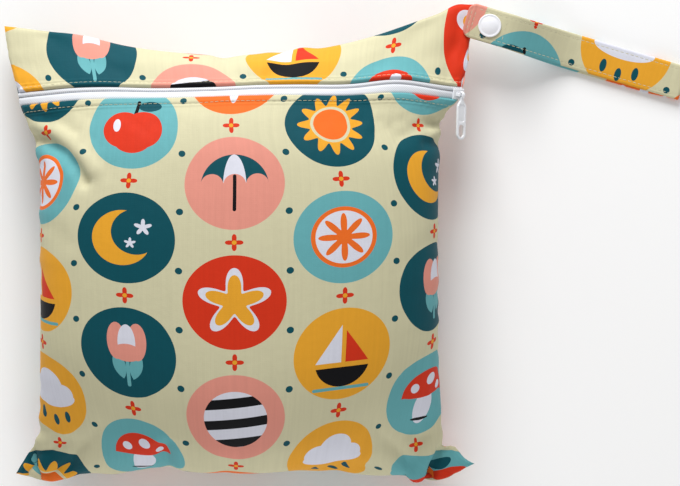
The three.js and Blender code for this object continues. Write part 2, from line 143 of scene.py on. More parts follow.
# Creases of the front along lines: two ends, depth and spread. A depth below zero is a ridge.
FRONT_FOLDS = (
    (-0.50, 0.275, -0.385, 0.175, 0.034, 0.055),
    (-0.44, 0.280, -0.365, 0.205, -0.014, 0.055),
    (0.50, 0.310, 0.40, 0.27, 0.024, 0.048),
    (-0.19, -0.470, -0.18, -0.40, 0.020, 0.050),
    (0.42, -0.440, 0.34, -0.36, 0.022, 0.055),
    (-0.42, -0.440, -0.34, -0.36, 0.022, 0.055),
)

# Narrow creases, seen from above as lines in millimetres, with a depth and a spread. A depth
# below zero is a ridge.
CREASES = (
    (((-126, 75), (-113, 72.5), (-104, 65.5), (-96, 56.5), (-91, 48)), 3.0, 3.4),
    (((-120, 81), (-106, 76), (-95, 67), (-86, 55)), -1.3, 5.0),
    (((-120, 66), (-109, 61), (-101, 51)), -0.9, 4.5),
    (((-128, 92), (-116, 86), (-104, 85)), 0.9, 4.0),
    (((124, 88), (118, 83), (113, 81)), 1.9, 3.0),
    (((121, 79), (115, 77)), -1.0, 3.2),
    (((122, 74), (116, 71), (111, 71)), 1.8, 3.2),
    (((120, 62), (112, 60)), -0.6, 4.0),
    (((-127, -106), (-125, -116), (-124, -124), (-121, -133)), 5.0, 2.8),
    (((-134, -118), (-129, -121)), -0.8, 3.0),
    (((-119, -104), (-117, -118), (-115, -130)), -2.0, 4.5),
    (((124, -108), (120, -115), (116, -122), (113, -134)), 6.0, 2.8),
    (((116, -100), (112, -112), (108, -122), (105, -132)), -2.6, 5.0),
    (((134, -117), (124, -122)), -1.2, 3.4),
    (((-43, -130), (-42, -118), (-44, -108)), 1.6, 5.0),
    (((-8, -130), (-9, -120)), 0.8, 6.0),
    (((60, -131), (58, -119)), 0.9, 6.0),
    (((-118, 138), (-98, 124), (-70, 113)), 1.1, 6.5),
    (((-84, 135), (-66, 122)), -0.8, 6.0),
    (((-10, 124), (-6, 113), (4, 106)), 1.2, 5.5),
    (((20, 126), (14, 116)), -0.9, 5.0),
    (((42, 130), (32, 118), (18, 110)), 1.3, 5.0),
    (((118, 150), (104, 134), (84, 120)), 1.3, 7.0),
    (((132, 142), (126, 124), (124, 110)), 1.2, 4.5),
    (((-112, 20), (-100, 12)), 0.6, 6.0),
    (((112, 12), (102, 2)), 0.6, 6.0),
    (((-108, -62), (-94, -74)), 0.7, 7.0),
    (((110, -60), (96, -72)), 0.7, 7.0),
)

# Small shifts of the cloth as seen from above, in millimetres: place, shift and spread
NUDGES = (
    ((131, -115.6), (-0.2, 4.6), (8, 6)),
    ((125.5, -109), (-3.6, -2.4), (5, 5)),
    ((-127, -113), (0.5, 1.5), (7, 6)),
    ((-95, 104), (0.0, 3.0), (38, 16)),
    ((95, 103), (0.0, 4.6), (24, 10)),
    ((30, 104), (0.0, 2.3), (50, 12)),
)


# Shape of the cloth

def smooth_step(value, low, high):
    t = np.clip((value - low) / (high - low), 0, 1)
    return t * t * (3 - 2 * t)


def bell(distance, spread):
    return np.exp(-((distance / spread) ** 2))


def column(table, name, along):
    """One column of a table, read between its rows along a smooth curve."""
    names, rows = table
    data = np.array(rows, float)
    place, value = data[:, 0], data[:, names.index(name)]
    last = len(place) - 1
    before = np.maximum(np.arange(last + 1) - 1, 0)
    after = np.minimum(np.arange(last + 1) + 1, last)
    slope = (value[after] - value[before]) / (place[after] - place[before])
    i = np.clip(np.searchsorted(place, along, side="right") - 1, 0, last - 1)
    span = place[i + 1] - place[i]
    t = (along - place[i]) / span
    return (
        (2 * t**3 - 3 * t**2 + 1) * value[i]
        + (t**3 - 2 * t**2 + t) * span * slope[i]
        + (3 * t**2 - 2 * t**3) * value[i + 1]
        + (t**3 - t**2) * span * slope[i + 1]
    )


def distance_to_line(x, y, start, end):
    run = np.subtract(end, start)
    share = ((x - start[0]) * run[0] + (y - start[1]) * run[1]) / run.dot(run)
    share = np.clip(share, 0, 1)
    return np.hypot(x - start[0] - share * run[0], y - start[1] - share * run[1])


def fold_depth(x, y):
    depth = np.zeros_like(x)
    for x0, y0, x1, y1, deep, spread in FRONT_FOLDS:
        start = (x0 * BODY_WIDTH, y0 * BODY_HEIGHT)
        end = (x1 * BODY_WIDTH, y1 * BODY_HEIGHT)
        away = distance_to_line(x, y, start, end)
        depth += deep * BODY_DEPTH * bell(away, spread * BODY_DEPTH)
    return depth


def crease_depth(x, y):
    depth = np.zeros_like(x)
    for line, deep, spread in CREASES:
        away = np.min([distance_to_line(x, y, a, b) for a, b in zip(line, line[1:])], axis=0)
        depth += deep * bell(away, spread)
    return depth


def body_skin(side, across, along):
    """The inner skin of the stuffed body, in millimetres. across and along run from 0 to 1."""
    across, along = np.broadcast_arrays(np.asarray(across, float), np.asarray(along, float))
    front = side == "front"
    tuck = np.maximum(column(SEAM_TABLE, "tuck", along), 0)
    turn = 180 + 2 * tuck if front else 180 - 2 * tuck
    angle = np.radians(-tuck + turn * across if front else -tuck - turn * across)
    share = -np.cos(angle)
    left = column(SEAM_TABLE, "left", along) * BODY_WIDTH
    right = column(SEAM_TABLE, "right", along) * BODY_WIDTH
    x = (left + right) / 2 + share * (right - left) / 2

    middle_up = column(PANEL_TABLES[side], "up", along) * BODY_HEIGHT
    left_up = column(SEAM_TABLE, "left_up", along)
    right_up = column(SEAM_TABLE, "right_up", along)
    side_up = np.where(share < 0, left_up, right_up) * BODY_HEIGHT
    sag = share**2 * (1.6 - 0.6 * share**2)
    y = middle_up + (side_up - middle_up) * sag
    for end, place, rise, spread in SEAM_WAVES:
        away = along if end == 0 else 1 - along
        y = y + rise * BODY_HEIGHT * bell(share - place, spread) * bell(away, WAVE_REACH)

    edge = column(SEAM_TABLE, "edge", along) * BODY_DEPTH
    below = np.sin(angle) < 0
    middle = {s: column(PANEL_TABLES[s], "height", along) * BODY_DEPTH for s in PANEL_TABLES}
    arch = {s: column(PANEL_TABLES[s], "arch", along) for s in PANEL_TABLES}
    height = np.where(below, middle["back"], middle[side])
    fullness = np.where(below, arch["back"], arch[side])
    z = edge + (height - edge) * np.abs(np.sin(angle)) ** fullness
    from_zip = np.abs(along - BAND_LINE) * FLAT_HEIGHT
    bulk = ZIP_END_BULK * bell(from_zip, 2 * TAPE_REACH)
    if front:
        free = smooth_step(along, 0, 0.06) * np.maximum(np.sin(angle), 0)
        z = z + bulk * smooth_step(np.abs(share), 0.5, 1) - fold_depth(x, y) * free
    else:
        # The back's edge comes up to the front's, and leaves room for the ends of the zip tapes.
        room = TAPE_ROOM * (1 - smooth_step(from_zip, TAPE_REACH, TAPE_REACH + 5))
        z = z + np.maximum(bulk - room, 0) * smooth_step(np.abs(share), 0.8, 1)
        z = np.maximum(z, CLOTH)
    return np.stack([x, y, z], axis=-1)


def row_share(points):
    """How far along its own row each point lies, from 0 to 1."""
    steps = np.linalg.norm(np.diff(points, axis=1), axis=-1)
    far = np.concatenate([np.zeros((len(points), 1)), np.cumsum(steps, axis=1)], axis=1)
    return far / far[:, -1:]


def column_length(points):
    """The length of cloth from the first row to each point, up its own column."""
    steps = np.linalg.norm(np.diff(points, axis=0), axis=-1)
    return np.concatenate([np.zeros((1, points.shape[1])), np.cumsum(steps, axis=0)])


def outward(points, side):
    """Unit directions square to a grid of points."""
    run = np.gradient(points, axis=1)
    rise = np.gradient(points, axis=0)
    square = np.cross(run, rise)
    square /= np.maximum(np.linalg.norm(square, axis=-1, keepdims=True), 1e-9)
    return square if side == "front" else -square


# Settled cloth: how far the simulation moved a coarse grid of each panel, in millimetres
SETTLED = {}


def settled(side, across, along):
    """The simulated cloth's movement, read smoothly between the coarse grid's points."""
    if side not in SETTLED:
        return 0.0
    field = SETTLED[side]
    rows, columns = field.shape[:2]

    def weights(place, count):
        place = np.clip(place, 0, 1) * (count - 1)
        base = np.clip(np.floor(place).astype(int), 0, count - 2)
        t = place - base
        cubic = (
            -0.5 * t + t**2 - 0.5 * t**3,
            1 - 2.5 * t**2 + 1.5 * t**3,
            0.5 * t + 2 * t**2 - 1.5 * t**3,
            -0.5 * t**2 + 0.5 * t**3,
        )
        near = [np.clip(base + k - 1, 0, count - 1) for k in range(4)]
        return near, cubic

    across, along = np.broadcast_arrays(np.asarray(across, float), np.asarray(along, float))
    near_a, cubic_a = weights(across, columns)
    near_b, cubic_b = weights(along, rows)
    total = np.zeros(across.shape + (3,))
    for i in range(4):
        for j in range(4):
            weight = (cubic_a[i] * cubic_b[j])[..., None]
            total += field[near_b[j], near_a[i]] * weight
    return total


def skin(side, across, along):
    points = body_skin(side, across, along) + settled(side, across, along)
    worn = points.copy()
    for (x, y), shift, (wide, tall) in NUDGES:
        near = bell(worn[..., 0] - x, wide) * bell(worn[..., 1] - y, tall)
        points[..., :2] += near[..., None] * np.array(shift)
    if side == "back":
        points[..., 2] = np.maximum(points[..., 2], CLOTH)
    return points


# Meshes

def new_object(name, verts, faces, flat=None, smooth=True):
    """Makes a mesh object. flat gives each vertex its place on the cut cloth, in millimetres."""
    mesh = bpy.data.meshes.new(name)
    mesh.from_pydata([tuple(v) for v in np.asarray(verts) * MM], [], faces)
    if flat is not None:
        layer = mesh.uv_layers.new(name="cut_cloth")
        loops = np.zeros(len(mesh.loops), dtype=np.int32)
        mesh.loops.foreach_get("vertex_index", loops)
        layer.data.foreach_set("uv", np.asarray(flat, float)[loops].ravel())
    if smooth:
        mesh.polygons.foreach_set("use_smooth", [True] * len(mesh.polygons))
    mesh.update()
    obj = bpy.data.objects.new(name, mesh)
    bpy.context.scene.collection.objects.link(obj)
    return obj


def grid_faces(grid):
    """The faces between the points of a grid of vertex numbers."""
    corners = (grid[:-1, :-1], grid[:-1, 1:], grid[1:, 1:], grid[1:, :-1])
    return np.stack(corners, -1).reshape(-1, 4)


def sheet_faces(rows, columns, flip=False):
    """Faces of a closed sheet: an outer grid, an inner grid and the rim between them."""
    grid = np.arange(rows * columns).reshape(rows, columns)
    back = grid + rows * columns
    inner = np.stack([back[:-1, :-1], back[1:, :-1], back[1:, 1:], back[:-1, 1:]], -1)
    rims = [
        np.stack([back[0, :-1], back[0, 1:], grid[0, 1:], grid[0, :-1]], -1),
        np.stack([grid[-1, :-1], grid[-1, 1:], back[-1, 1:], back[-1, :-1]], -1),
        np.stack([grid[:-1, 0], grid[1:, 0], back[1:, 0], back[:-1, 0]], -1),
        np.stack([back[:-1, -1], back[1:, -1], grid[1:, -1], grid[:-1, -1]], -1),
    ]
    faces = np.concatenate([grid_faces(grid), inner.reshape(-1, 4), *rims])
    return (faces[:, ::-1] if flip else faces).tolist()


def closed_sheet(name, outer, inner, flat, flip=False):
    rows, columns = outer.shape[:2]
    verts = np.concatenate([outer.reshape(-1, 3), inner.reshape(-1, 3)])
    flat = np.concatenate([flat.reshape(-1, 2)] * 2)
    return new_object(name, verts, sheet_faces(rows, columns, flip), flat)


def turned_profile(name, profile, segments, place):
    """A closed solid turned from a profile of (radius, height), whose ends lie on the axis."""
    verts = []
    for radius, height in profile[1:-1]:
        for k in range(segments):
            angle = 2 * math.pi * k / segments
            verts.append((radius * math.cos(angle), radius * math.sin(angle), height))
    rings = len(profile) - 2
    faces = []
    for ring in range(rings - 1):
        for k in range(segments):
            a, b = ring * segments + k, ring * segments + (k + 1) % segments
            faces.append((a, b, b + segments, a + segments))
    verts += [(0, 0, profile[0][1]), (0, 0, profile[-1][1])]
    first, last = len(verts) - 2, len(verts) - 1
    for k in range(segments):
        after = (k + 1) % segments
        faces.append((first, after, k))
        faces.append((last, (rings - 1) * segments + k, (rings - 1) * segments + after))
    return new_object(name, np.array(verts) + np.array(place), faces)


def line_length(points):
    """The length along a line of points from its first one to each."""
    steps = np.linalg.norm(np.diff(points, axis=0), axis=1)
    return np.concatenate([[0], np.cumsum(steps)])


def stitch_row(name, points, normals):
    """A row of thread stitches along a line of points, as one mesh of small rounded bars."""
    cloth = bpy.context.scene.wet_bag.cloth
    radius, stitch, gap = cloth.thread / 2, cloth.stitch, cloth.stitch_gap
    far = line_length(points)
    starts = np.arange(gap, far[-1] - stitch, stitch + gap)
    # Rings of one bar: how far along it they lie, how thick they are and how high they stand
    shares = np.array([0.0, 0.12, 0.5, 0.88, 1.0])
    thick = np.array([0.15, 0.85, 1.0, 0.85, 0.15]) * radius
    lift = np.array([-0.9, -0.2, 0.25, -0.2, -0.9]) * radius
    sides = 6
    verts, faces = [], []
    for start in starts:
        place = start + shares * stitch
        middle = np.stack([np.interp(place, far, points[:, k]) for k in range(3)], -1)
        up = np.stack([np.interp(place, far, normals[:, k]) for k in range(3)], -1)
        up /= np.linalg.norm(up, axis=1, keepdims=True)
        run = middle[-1] - middle[0]
        run /= np.linalg.norm(run)
        side = np.cross(up, run)
        middle = middle + up * lift[:, None]
        base = len(verts)
        for m, u, s, r in zip(middle, up, side, thick):
            for k in range(sides):
                angle = 2 * math.pi * k / sides
                verts.append(m + r * (math.cos(angle) * s + math.sin(angle) * u))
        for ring in range(len(shares) - 1):
            for k in range(sides):
                a, b = base + ring * sides + k, base + ring * sides + (k + 1) % sides
                faces.append((a, a + sides, b + sides, b))
        faces.append(tuple(base + k for k in range(sides)))
        top = base + (len(shares) - 1) * sides
        faces.append(tuple(top + k for k in reversed(range(sides))))
    piece = new_object(name, np.array(verts), faces)
    finish_piece(piece, shared("thread", sewing_thread), "printed_cloth")


def finish_piece(piece, material, slot, *nodes, body="bag"):
    """Gives a piece its material and its place in the frame."""
    piece.data.materials.clear()
    piece.data.materials.append(material)
    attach(piece, body)
    if nodes:
        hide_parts(*nodes)


def finish_nodes(material, *nodes):
    """Gives carried CAD nodes a better material."""
    for node in nodes:
        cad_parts[node].data.materials.clear()
        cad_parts[node].data.materials.append(material)


# Materials

def linear(code):
    """An sRGB hex colour as the linear colour that shaders use."""
    channels = [int(code[i:i + 2], 16) / 255 for i in (1, 3, 5)]
    return (*(c / 12.92 if c <= 0.04045 else ((c + 0.055) / 1.055) ** 2.4 for c in channels), 1)


def add(tree, kind, links=None, out=0, **settings):
    """Adds one node with its settings, values and links, and returns the output asked for."""
    node = tree.nodes.new(kind)
    for name, value in settings.items():
        setattr(node, name, value)
    for key, value in (links or {}).items():
        if isinstance(value, bpy.types.NodeSocket):
            tree.links.new(value, node.inputs[key])
        else:
            node.inputs[key].default_value = value
    return node.outputs[out]


MATH = "ShaderNodeMath"
VECTOR = "ShaderNodeVectorMath"
MIX = "ShaderNodeMix"


def new_material(name, roughness, **sockets):
    """A material with its shader's own sockets set, and the tree and shader to build on."""
    material = bpy.data.materials.new(name)
    material.use_nodes = True
    tree = material.node_tree
    shader = tree.nodes["Principled BSDF"]
    shader.inputs["Roughness"].default_value = roughness
    for key, value in sockets.items():
        shader.inputs[key.replace("_", " ")].default_value = value
    return material, tree, shader


# Print. Every shape is a distance in millimetres that is below zero inside it.

def round_shape(tree, place, x, y, radius):
    away = add(tree, VECTOR, {0: place, 1: (x, y, 0)}, "Value", operation="DISTANCE")
    return add(tree, MATH, {0: away, 1: radius}, operation="SUBTRACT")


def oval_shape(tree, place, x, y, wide, tall):
    scale, shift = (1 / wide, 1 / tall, 0), (-x / wide, -y / tall, 0)
    unit = add(tree, VECTOR, {0: place, 1: scale, 2: shift}, operation="MULTIPLY_ADD")
    away = add(tree, VECTOR, {0: unit}, "Value", operation="LENGTH")
    return add(tree, MATH, {0: away, 1: 1.0}, operation="SUBTRACT")


def half_shape(tree, place, x, y, reach):
    along = add(tree, VECTOR, {0: place, 1: (x, y, 0)}, "Value", operation="DOT_PRODUCT")
    return add(tree, MATH, {0: along, 1: reach}, operation="SUBTRACT")


def petal_shape(tree, place, x, y, radius, depth, count, turn=math.pi / 2):
    shifted = add(tree, VECTOR, {0: place, 1: (x, y, 0)}, operation="SUBTRACT")
    away = add(tree, VECTOR, {0: shifted}, "Value", operation="LENGTH")
    across = add(tree, "ShaderNodeSeparateXYZ", {0: shifted})
    up = across.node.outputs["Y"]
    angle = add(tree, MATH, {0: up, 1: across}, operation="ARCTAN2")
    phase = add(tree, MATH, {0: angle, 1: count, 2: -turn * count}, operation="MULTIPLY_ADD")
    lobe = add(tree, MATH, {0: phase}, operation="COSINE")
    reach = add(tree, MATH, {0: lobe, 1: depth, 2: radius}, operation="MULTIPLY_ADD")
    return add(tree, MATH, {0: away, 1: reach}, operation="SUBTRACT")


def bar_shape(tree, place, x0, y0, x1, y1, width):
    run = Vector((x1 - x0, y1 - y0, 0))
    shifted = add(tree, VECTOR, {0: place, 1: (x0, y0, 0)}, operation="SUBTRACT")
    far = add(tree, VECTOR, {0: shifted, 1: run}, "Value", operation="DOT_PRODUCT")
    share = add(tree, MATH, {0: far, 1: run.length_squared}, operation="DIVIDE", use_clamp=True)
    nearest = add(tree, VECTOR, {0: run, "Scale": share}, operation="SCALE")
    away = add(tree, VECTOR, {0: shifted, 1: nearest}, "Value", operation="DISTANCE")
    return add(tree, MATH, {0: away, 1: width / 2}, operation="SUBTRACT")


SHAPES = {
    "round": round_shape,
    "oval": oval_shape,
    "half": half_shape,
    "petal": petal_shape,
    "bar": bar_shape,
}

# Motifs of the print: the disc's colour, then layers from the cloth up. A layer is a colour and the
# shapes that it is the overlap of, each with its sizes in millimetres from the disc's middle.
MOTIFS = (
    ("teal", (
        ("mustard", (("petal", 0, 0, 17, 3.5, 12),)),
        ("cream", (("round", 0, 0, 12.4),)),
        ("orange", (("round", 0, 0, 10.6),)),
    )),
    ("aqua", (
        ("black", (("bar", 0, 4, 3, 17, 2.2),)),
        ("teal", (("oval", 10, 14, 7, 3.4),)),
        ("red", (("round", -6, -2, 12.5),)),
        ("red", (("round", 6, -2, 12.5),)),
        ("red", (("oval", 0, -6, 13, 12),)),
        ("white", (("oval", -10, 1, 2.4, 4.4),)),
    )),
    ("orange", (
        ("white", (("petal", 0, 0, 14, 6, 8),)),
        ("mustard", (("round", 0, 0, 6.4),)),
        ("black", (("round", 0, 0, 2.2),)),
    )),
    ("mustard", (
        ("white", (("round", -9, 3, 8.5),)),
        ("white", (("round", 2, 8, 10.5),)),
        ("white", (("round", 12, 2, 7.5),)),
        ("white", (("oval", 1, -1, 19, 6.5),)),
        ("teal", (("oval", -9, -14, 2, 4),)),
        ("teal", (("oval", 1, -17, 2, 4),)),
        ("teal", (("oval", 11, -14, 2, 4),)),
    )),
    ("aqua", (
        ("white", (("oval", 0, -7, 7, 12),)),
        ("red", (("round", 0, 0, 18), ("half", 0, -1, 0))),
        ("white", (("round", -9, 7, 3.2),)),
        ("white", (("round", 3, 11, 3.6),)),
        ("white", (("round", 11, 4, 2.6),)),
        ("black", (("oval", 0, -15.5, 7, 1.2),)),
    )),
    ("pink", (
        ("white", (("round", 0, 0, 18),)),
        ("black", (("round", 0, 0, 18), ("bar", -24, 8, 24, 14, 6))),
        ("black", (("round", 0, 0, 18), ("bar", -24, -5, 24, 1, 6))),
        ("black", (("round", 0, 0, 18), ("bar", -24, -18, 24, -12, 6))),
    )),
    ("mustard", (
        ("black", (("round", 0, -4, 16), ("half", 0, 1, -8))),
        ("white", (("half", 1, 0, -1), ("half", 0, -1, 5), ("half", -0.838, 0.545, 10.5))),
        ("red", (("half", -1, 0, -1.5), ("half", 0, -1, 5), ("half", 0.817, 0.577, 9.5))),
        ("aqua", (("bar", -16, -21, 16, -21, 2),)),
    )),
    ("teal", (
        ("aqua", (("bar", 0, -20, 0, 0, 2.2),)),
        ("aqua", (("round", -13, -10, 12), ("round", 3, -6, 12), ("half", 0, 1, 0))),
        ("aqua", (("round", 13, -10, 12), ("round", -3, -6, 12), ("half", 0, 1, 0))),
        ("pink", (("oval", -6, 7, 5.5, 11.5),)),
        ("pink", (("oval", 6, 7, 5.5, 11.5),)),
        ("white", (("oval", 0, 6, 5.2, 11.5),)),
        ("pink", (("oval", 0, 0, 8.5, 5.5),)),
    )),
    ("red", (
        ("white", (("petal", 0, 0, 14.5, 6, 5),)),
        ("mustard", (("petal", 0, 0, 11.5, 4.8, 5),)),
    )),
    ("aqua", (
        ("orange", (("round", 0, 0, 18.5),)),
        ("white", (("round", 0, 0, 16),)),
        ("orange", (("petal", 0, 0, 9.5, 5, 8),)),
    )),
    ("teal", (
        ("mustard", (("round", -2, 0, 17),)),
        ("teal", (("round", 6, 4, 14),)),
        ("white", (("petal", 10, 7, 3.6, 1.6, 5),)),
        ("white", (("petal", 3, -3, 2.4, 1.0, 5),)),
    )),
    ("pink", (
        ("black", (("bar", 0, -16, 0, 4, 2),)),
        ("teal", (("round", 0, -2, 19), ("half", 0, -1, 0))),
        ("white", (("oval", 0, -2, 6.5, 19), ("half", 0, -1, 0))),
        ("pink", (("round", -12.7, -1, 6.3),)),
        ("pink", (("round", 0, -1, 6.3),)),
        ("pink", (("round", 12.7, -1, 6.3),)),
        ("black", (("bar", 0, -16, 0, 4, 2),)),
    )),
)


def paint(tree, under, colour, shapes):
    """Lays a colour over another where all the given shapes overlap."""
    inside = shapes[0]
    for shape in shapes[1:]:
        inside = add(tree, MATH, {0: inside, 1: shape}, operation="MAXIMUM")
    mask = add(tree, MATH, {0: inside, 1: 0.0}, operation="LESS_THAN")
    return add(tree, MIX, {0: mask, 6: under, 7: colour}, 2, data_type="RGBA")


def printed_pattern(tree, inks, sizes):
    """The print's colour at each place of the cut cloth: discs in half-dropped columns."""
    cloth = add(tree, "ShaderNodeUVMap", uv_map="cut_cloth")
    x = add(tree, "ShaderNodeSeparateXYZ", {0: cloth})
    y = x.node.outputs["Y"]
    wide, tall = sizes.cell_width, sizes.cell_height
    columns = add(tree, MATH, {0: x, 1: wide}, operation="DIVIDE")
    column_number = add(tree, MATH, {0: columns}, operation="FLOOR")
    odd = add(tree, MATH, {0: column_number, 1: 2.0}, operation="FLOORED_MODULO")
    dropped = add(tree, MATH, {0: odd, 1: tall / 2, 2: y}, operation="MULTIPLY_ADD")
    rows = add(tree, MATH, {0: dropped, 1: tall}, operation="DIVIDE")
    row_number = add(tree, MATH, {0: rows}, operation="FLOOR")
    cell_x = add(tree, MATH, {0: columns, 1: column_number}, operation="SUBTRACT")
    cell_x = add(tree, MATH, {0: cell_x, 1: wide, 2: -wide / 2}, operation="MULTIPLY_ADD")
    cell_y = add(tree, MATH, {0: rows, 1: row_number}, operation="SUBTRACT")
    cell_y = add(tree, MATH, {0: cell_y, 1: tall, 2: -tall / 2}, operation="MULTIPLY_ADD")
    place = add(tree, "ShaderNodeCombineXYZ", {0: cell_x, 1: cell_y})
    third = add(tree, MATH, {0: column_number, 1: 3.0}, operation="FLOORED_MODULO")
    fourth = add(tree, MATH, {0: row_number, 1: 4.0}, operation="FLOORED_MODULO")
    number = add(tree, MATH, {0: fourth, 1: 3.0, 2: third}, operation="MULTIPLY_ADD")

    art = inks["cream"]
    disc = round_shape(tree, place, 0, 0, sizes.disc_width / 2)
    for k, (disc_ink, layers) in enumerate(MOTIFS):
        motif = inks[disc_ink]
        for ink, shapes in layers:
            drawn = [SHAPES[kind](tree, place, *measure) for kind, *measure in shapes]
            motif = paint(tree, motif, inks[ink], drawn)
        chosen = add(tree, MATH, {0: number, 1: float(k), 2: 0.5}, operation="COMPARE")
        kept = add(tree, MATH, {0: disc, 1: 0.0}, operation="LESS_THAN")
        kept = add(tree, MATH, {0: kept, 1: chosen}, operation="MULTIPLY")
        art = add(tree, MIX, {0: kept, 6: art, 7: motif}, 2, data_type="RGBA")
    for side in (-1, 1):
        sprig = petal_shape(tree, place, 0, side * tall / 2, 3.4, 1.6, 4)
        art = paint(tree, art, inks["red"], [sprig])
        heart = round_shape(tree, place, 0, side * tall / 2, 1.3)
        art = paint(tree, art, inks["mustard"], [heart])
    for across in (-1, 1):
        for up in (-1, 1):
            dot = round_shape(tree, place, across * wide / 2, up * tall / 4, 2.0)
            art = paint(tree, art, inks["teal"], [dot])
    return art, cloth


def printed_knit(bag):
    """Smooth polyester knit with a film behind it, printed: matt ink, a faint sheen, fine loops."""
    material, tree, shader = new_material(
        "Printed polyester knit",
        0.62,
        Sheen_Weight=0.02,
        Sheen_Roughness=0.4,
        Specular_IOR_Level=0.14,
    )
    inks = {name: tuple(getattr(bag.inks, name)) for name in own_names(bag.inks)}
    art, cloth = printed_pattern(tree, inks, bag.pattern)
    mottle = add(tree, "ShaderNodeTexNoise", {"Vector": cloth, "Scale": 0.05, "Detail": 4.0})
    shade = add(tree, "ShaderNodeMapRange", {"Value": mottle, "To Min": 0.965, "To Max": 1.03})
    # Yarns of uneven thickness run up the cloth as faint streaks.
    stretched = add(tree, VECTOR, {0: cloth, 1: (0.55, 0.02, 1)}, operation="MULTIPLY")
    streaks = add(tree, "ShaderNodeTexNoise", {"Vector": stretched, "Scale": 1.0, "Detail": 3.0})
    streaks = add(tree, "ShaderNodeMapRange", {"Value": streaks, 3: 0.93, 4: 1.07})
    shade = add(tree, MATH, {0: shade, 1: streaks}, operation="MULTIPLY")
    tinted = add(tree, VECTOR, {0: art, "Scale": shade}, operation="SCALE")
    tree.links.new(tinted, shader.inputs["Base Color"])
    # Knit loops are 0.5 mm apart and are drawn 1.1 mm apart, so that they show at this size.
    ribs = add(tree, "ShaderNodeTexWave", {"Vector": cloth, "Scale": 0.29, "Distortion": 0.4})
    courses = add(
        tree, "ShaderNodeTexWave", {"Vector": cloth, "Scale": 0.29, "Distortion": 0.4},
        bands_direction="Y",
    )
    loops = add(tree, MATH, {0: ribs, 1: courses}, operation="MULTIPLY")
    crumple = add(tree, "ShaderNodeTexNoise", {"Vector": cloth, "Scale": 0.16, "Detail": 5.0})
    loops_bump = add(
        tree, "ShaderNodeBump", {"Strength": 0.10, "Distance": 0.2 * MM, "Height": loops}
    )
    bump = add(
        tree, "ShaderNodeBump",
        {"Strength": 0.22, "Distance": 0.9 * MM, "Height": crumple, "Normal": loops_bump},
    )
    tree.links.new(bump, shader.inputs["Normal"])
    rough = add(tree, "ShaderNodeMapRange", {"Value": mottle, "To Min": 0.55, "To Max": 0.68})
    tree.links.new(rough, shader.inputs["Roughness"])
    return material


def woven_tape():
    """White woven polyester tape: fine diagonal ribs."""
    material, tree, shader = new_material("Woven zip tape", 0.55, Sheen_Weight=0.15)
    cloth = add(tree, "ShaderNodeUVMap", uv_map="cut_cloth")
    turned = add(tree, "ShaderNodeMapping", {"Vector": cloth, "Rotation": (0, 0, 0.8)})
    ribs = add(tree, "ShaderNodeTexWave", {"Vector": turned, "Scale": 0.33, "Distortion": 0.3})
    tone = add(tree, "ShaderNodeValToRGB", {"Fac": ribs})
    tone.node.color_ramp.elements[0].color = linear("#C9CCD3")
    tone.node.color_ramp.elements[1].color = linear("#E6E8EC")
    tree.links.new(tone, shader.inputs["Base Color"])
    bump = add(tree, "ShaderNodeBump", {"Strength": 0.35, "Distance": 0.15 * MM, "Height": ribs})
    tree.links.new(bump, shader.inputs["Normal"])
    return material


def moulded_plastic(name, low, high, roughness, grain):
    """White plastic as moulded: an even gloss broken by faint flow marks."""
    material, tree, shader = new_material(name, roughness, Coat_Weight=0.25, Coat_Roughness=0.12)
    place = add(tree, "ShaderNodeTexCoord", out="Object")
    fine = 1 / (grain * MM)
    flow = add(tree, "ShaderNodeTexNoise", {"Vector": place, "Scale": fine, "Detail": 3.0})
    tone = add(tree, "ShaderNodeValToRGB", {"Fac": flow})
    tone.node.color_ramp.elements[0].color = linear(low)
    tone.node.color_ramp.elements[1].color = linear(high)
    tree.links.new(tone, shader.inputs["Base Color"])
    rough = add(
        tree, "ShaderNodeMapRange",
        {"Value": flow, "To Min": roughness - 0.05, "To Max": roughness + 0.07},
    )
    tree.links.new(rough, shader.inputs["Roughness"])
    bump = add(tree, "ShaderNodeBump", {"Strength": 0.05, "Distance": 0.2 * MM, "Height": flow})
    tree.links.new(bump, shader.inputs["Normal"])
    return material


def sewing_thread():
    """Cream spun polyester thread: matt, with the twist of its plies."""
    material, tree, shader = new_material("Spun sewing thread", 0.7, Sheen_Weight=0.2)
    place = add(tree, "ShaderNodeTexCoord", out="Object")
    twist = add(
        tree, "ShaderNodeTexWave", {"Vector": place, "Scale": 900.0}, bands_direction="DIAGONAL"
    )
    tone = add(tree, "ShaderNodeValToRGB", {"Fac": twist})
    tone.node.color_ramp.elements[0].color = linear("#B4AE8E")
    tone.node.color_ramp.elements[1].color = linear("#D9D4B6")
    tree.links.new(tone, shader.inputs["Base Color"])
    return material


MADE = {}


def shared(name, maker, *values):
    """Makes a material once, and gives the same one to every piece that asks for it."""
    if name not in MADE:
        MADE[name] = maker(*values)
    return MADE[name]


def knit():
    return shared("knit", printed_knit, bpy.context.scene.wet_bag)


def nylon():
    return shared("nylon", moulded_plastic, "Moulded nylon", "#E3E5EA", "#F4F5F8", 0.32, 2.5)


# Sizes and colours that a user would change

def ink(name, code):
    return bpy.props.FloatVectorProperty(
        name=name, description=f"Colour of the print's {name.lower()} ink",
        subtype="COLOR", size=4, min=0, max=1, default=linear(code),
    )


def size(name, description, default):
    return bpy.props.FloatProperty(name=name, description=description, default=default, min=0)


def own_names(group):
    """The names of the settings in a group."""
    return [name for name in group.bl_rna.properties.keys() if name not in ("rna_type", "name")]


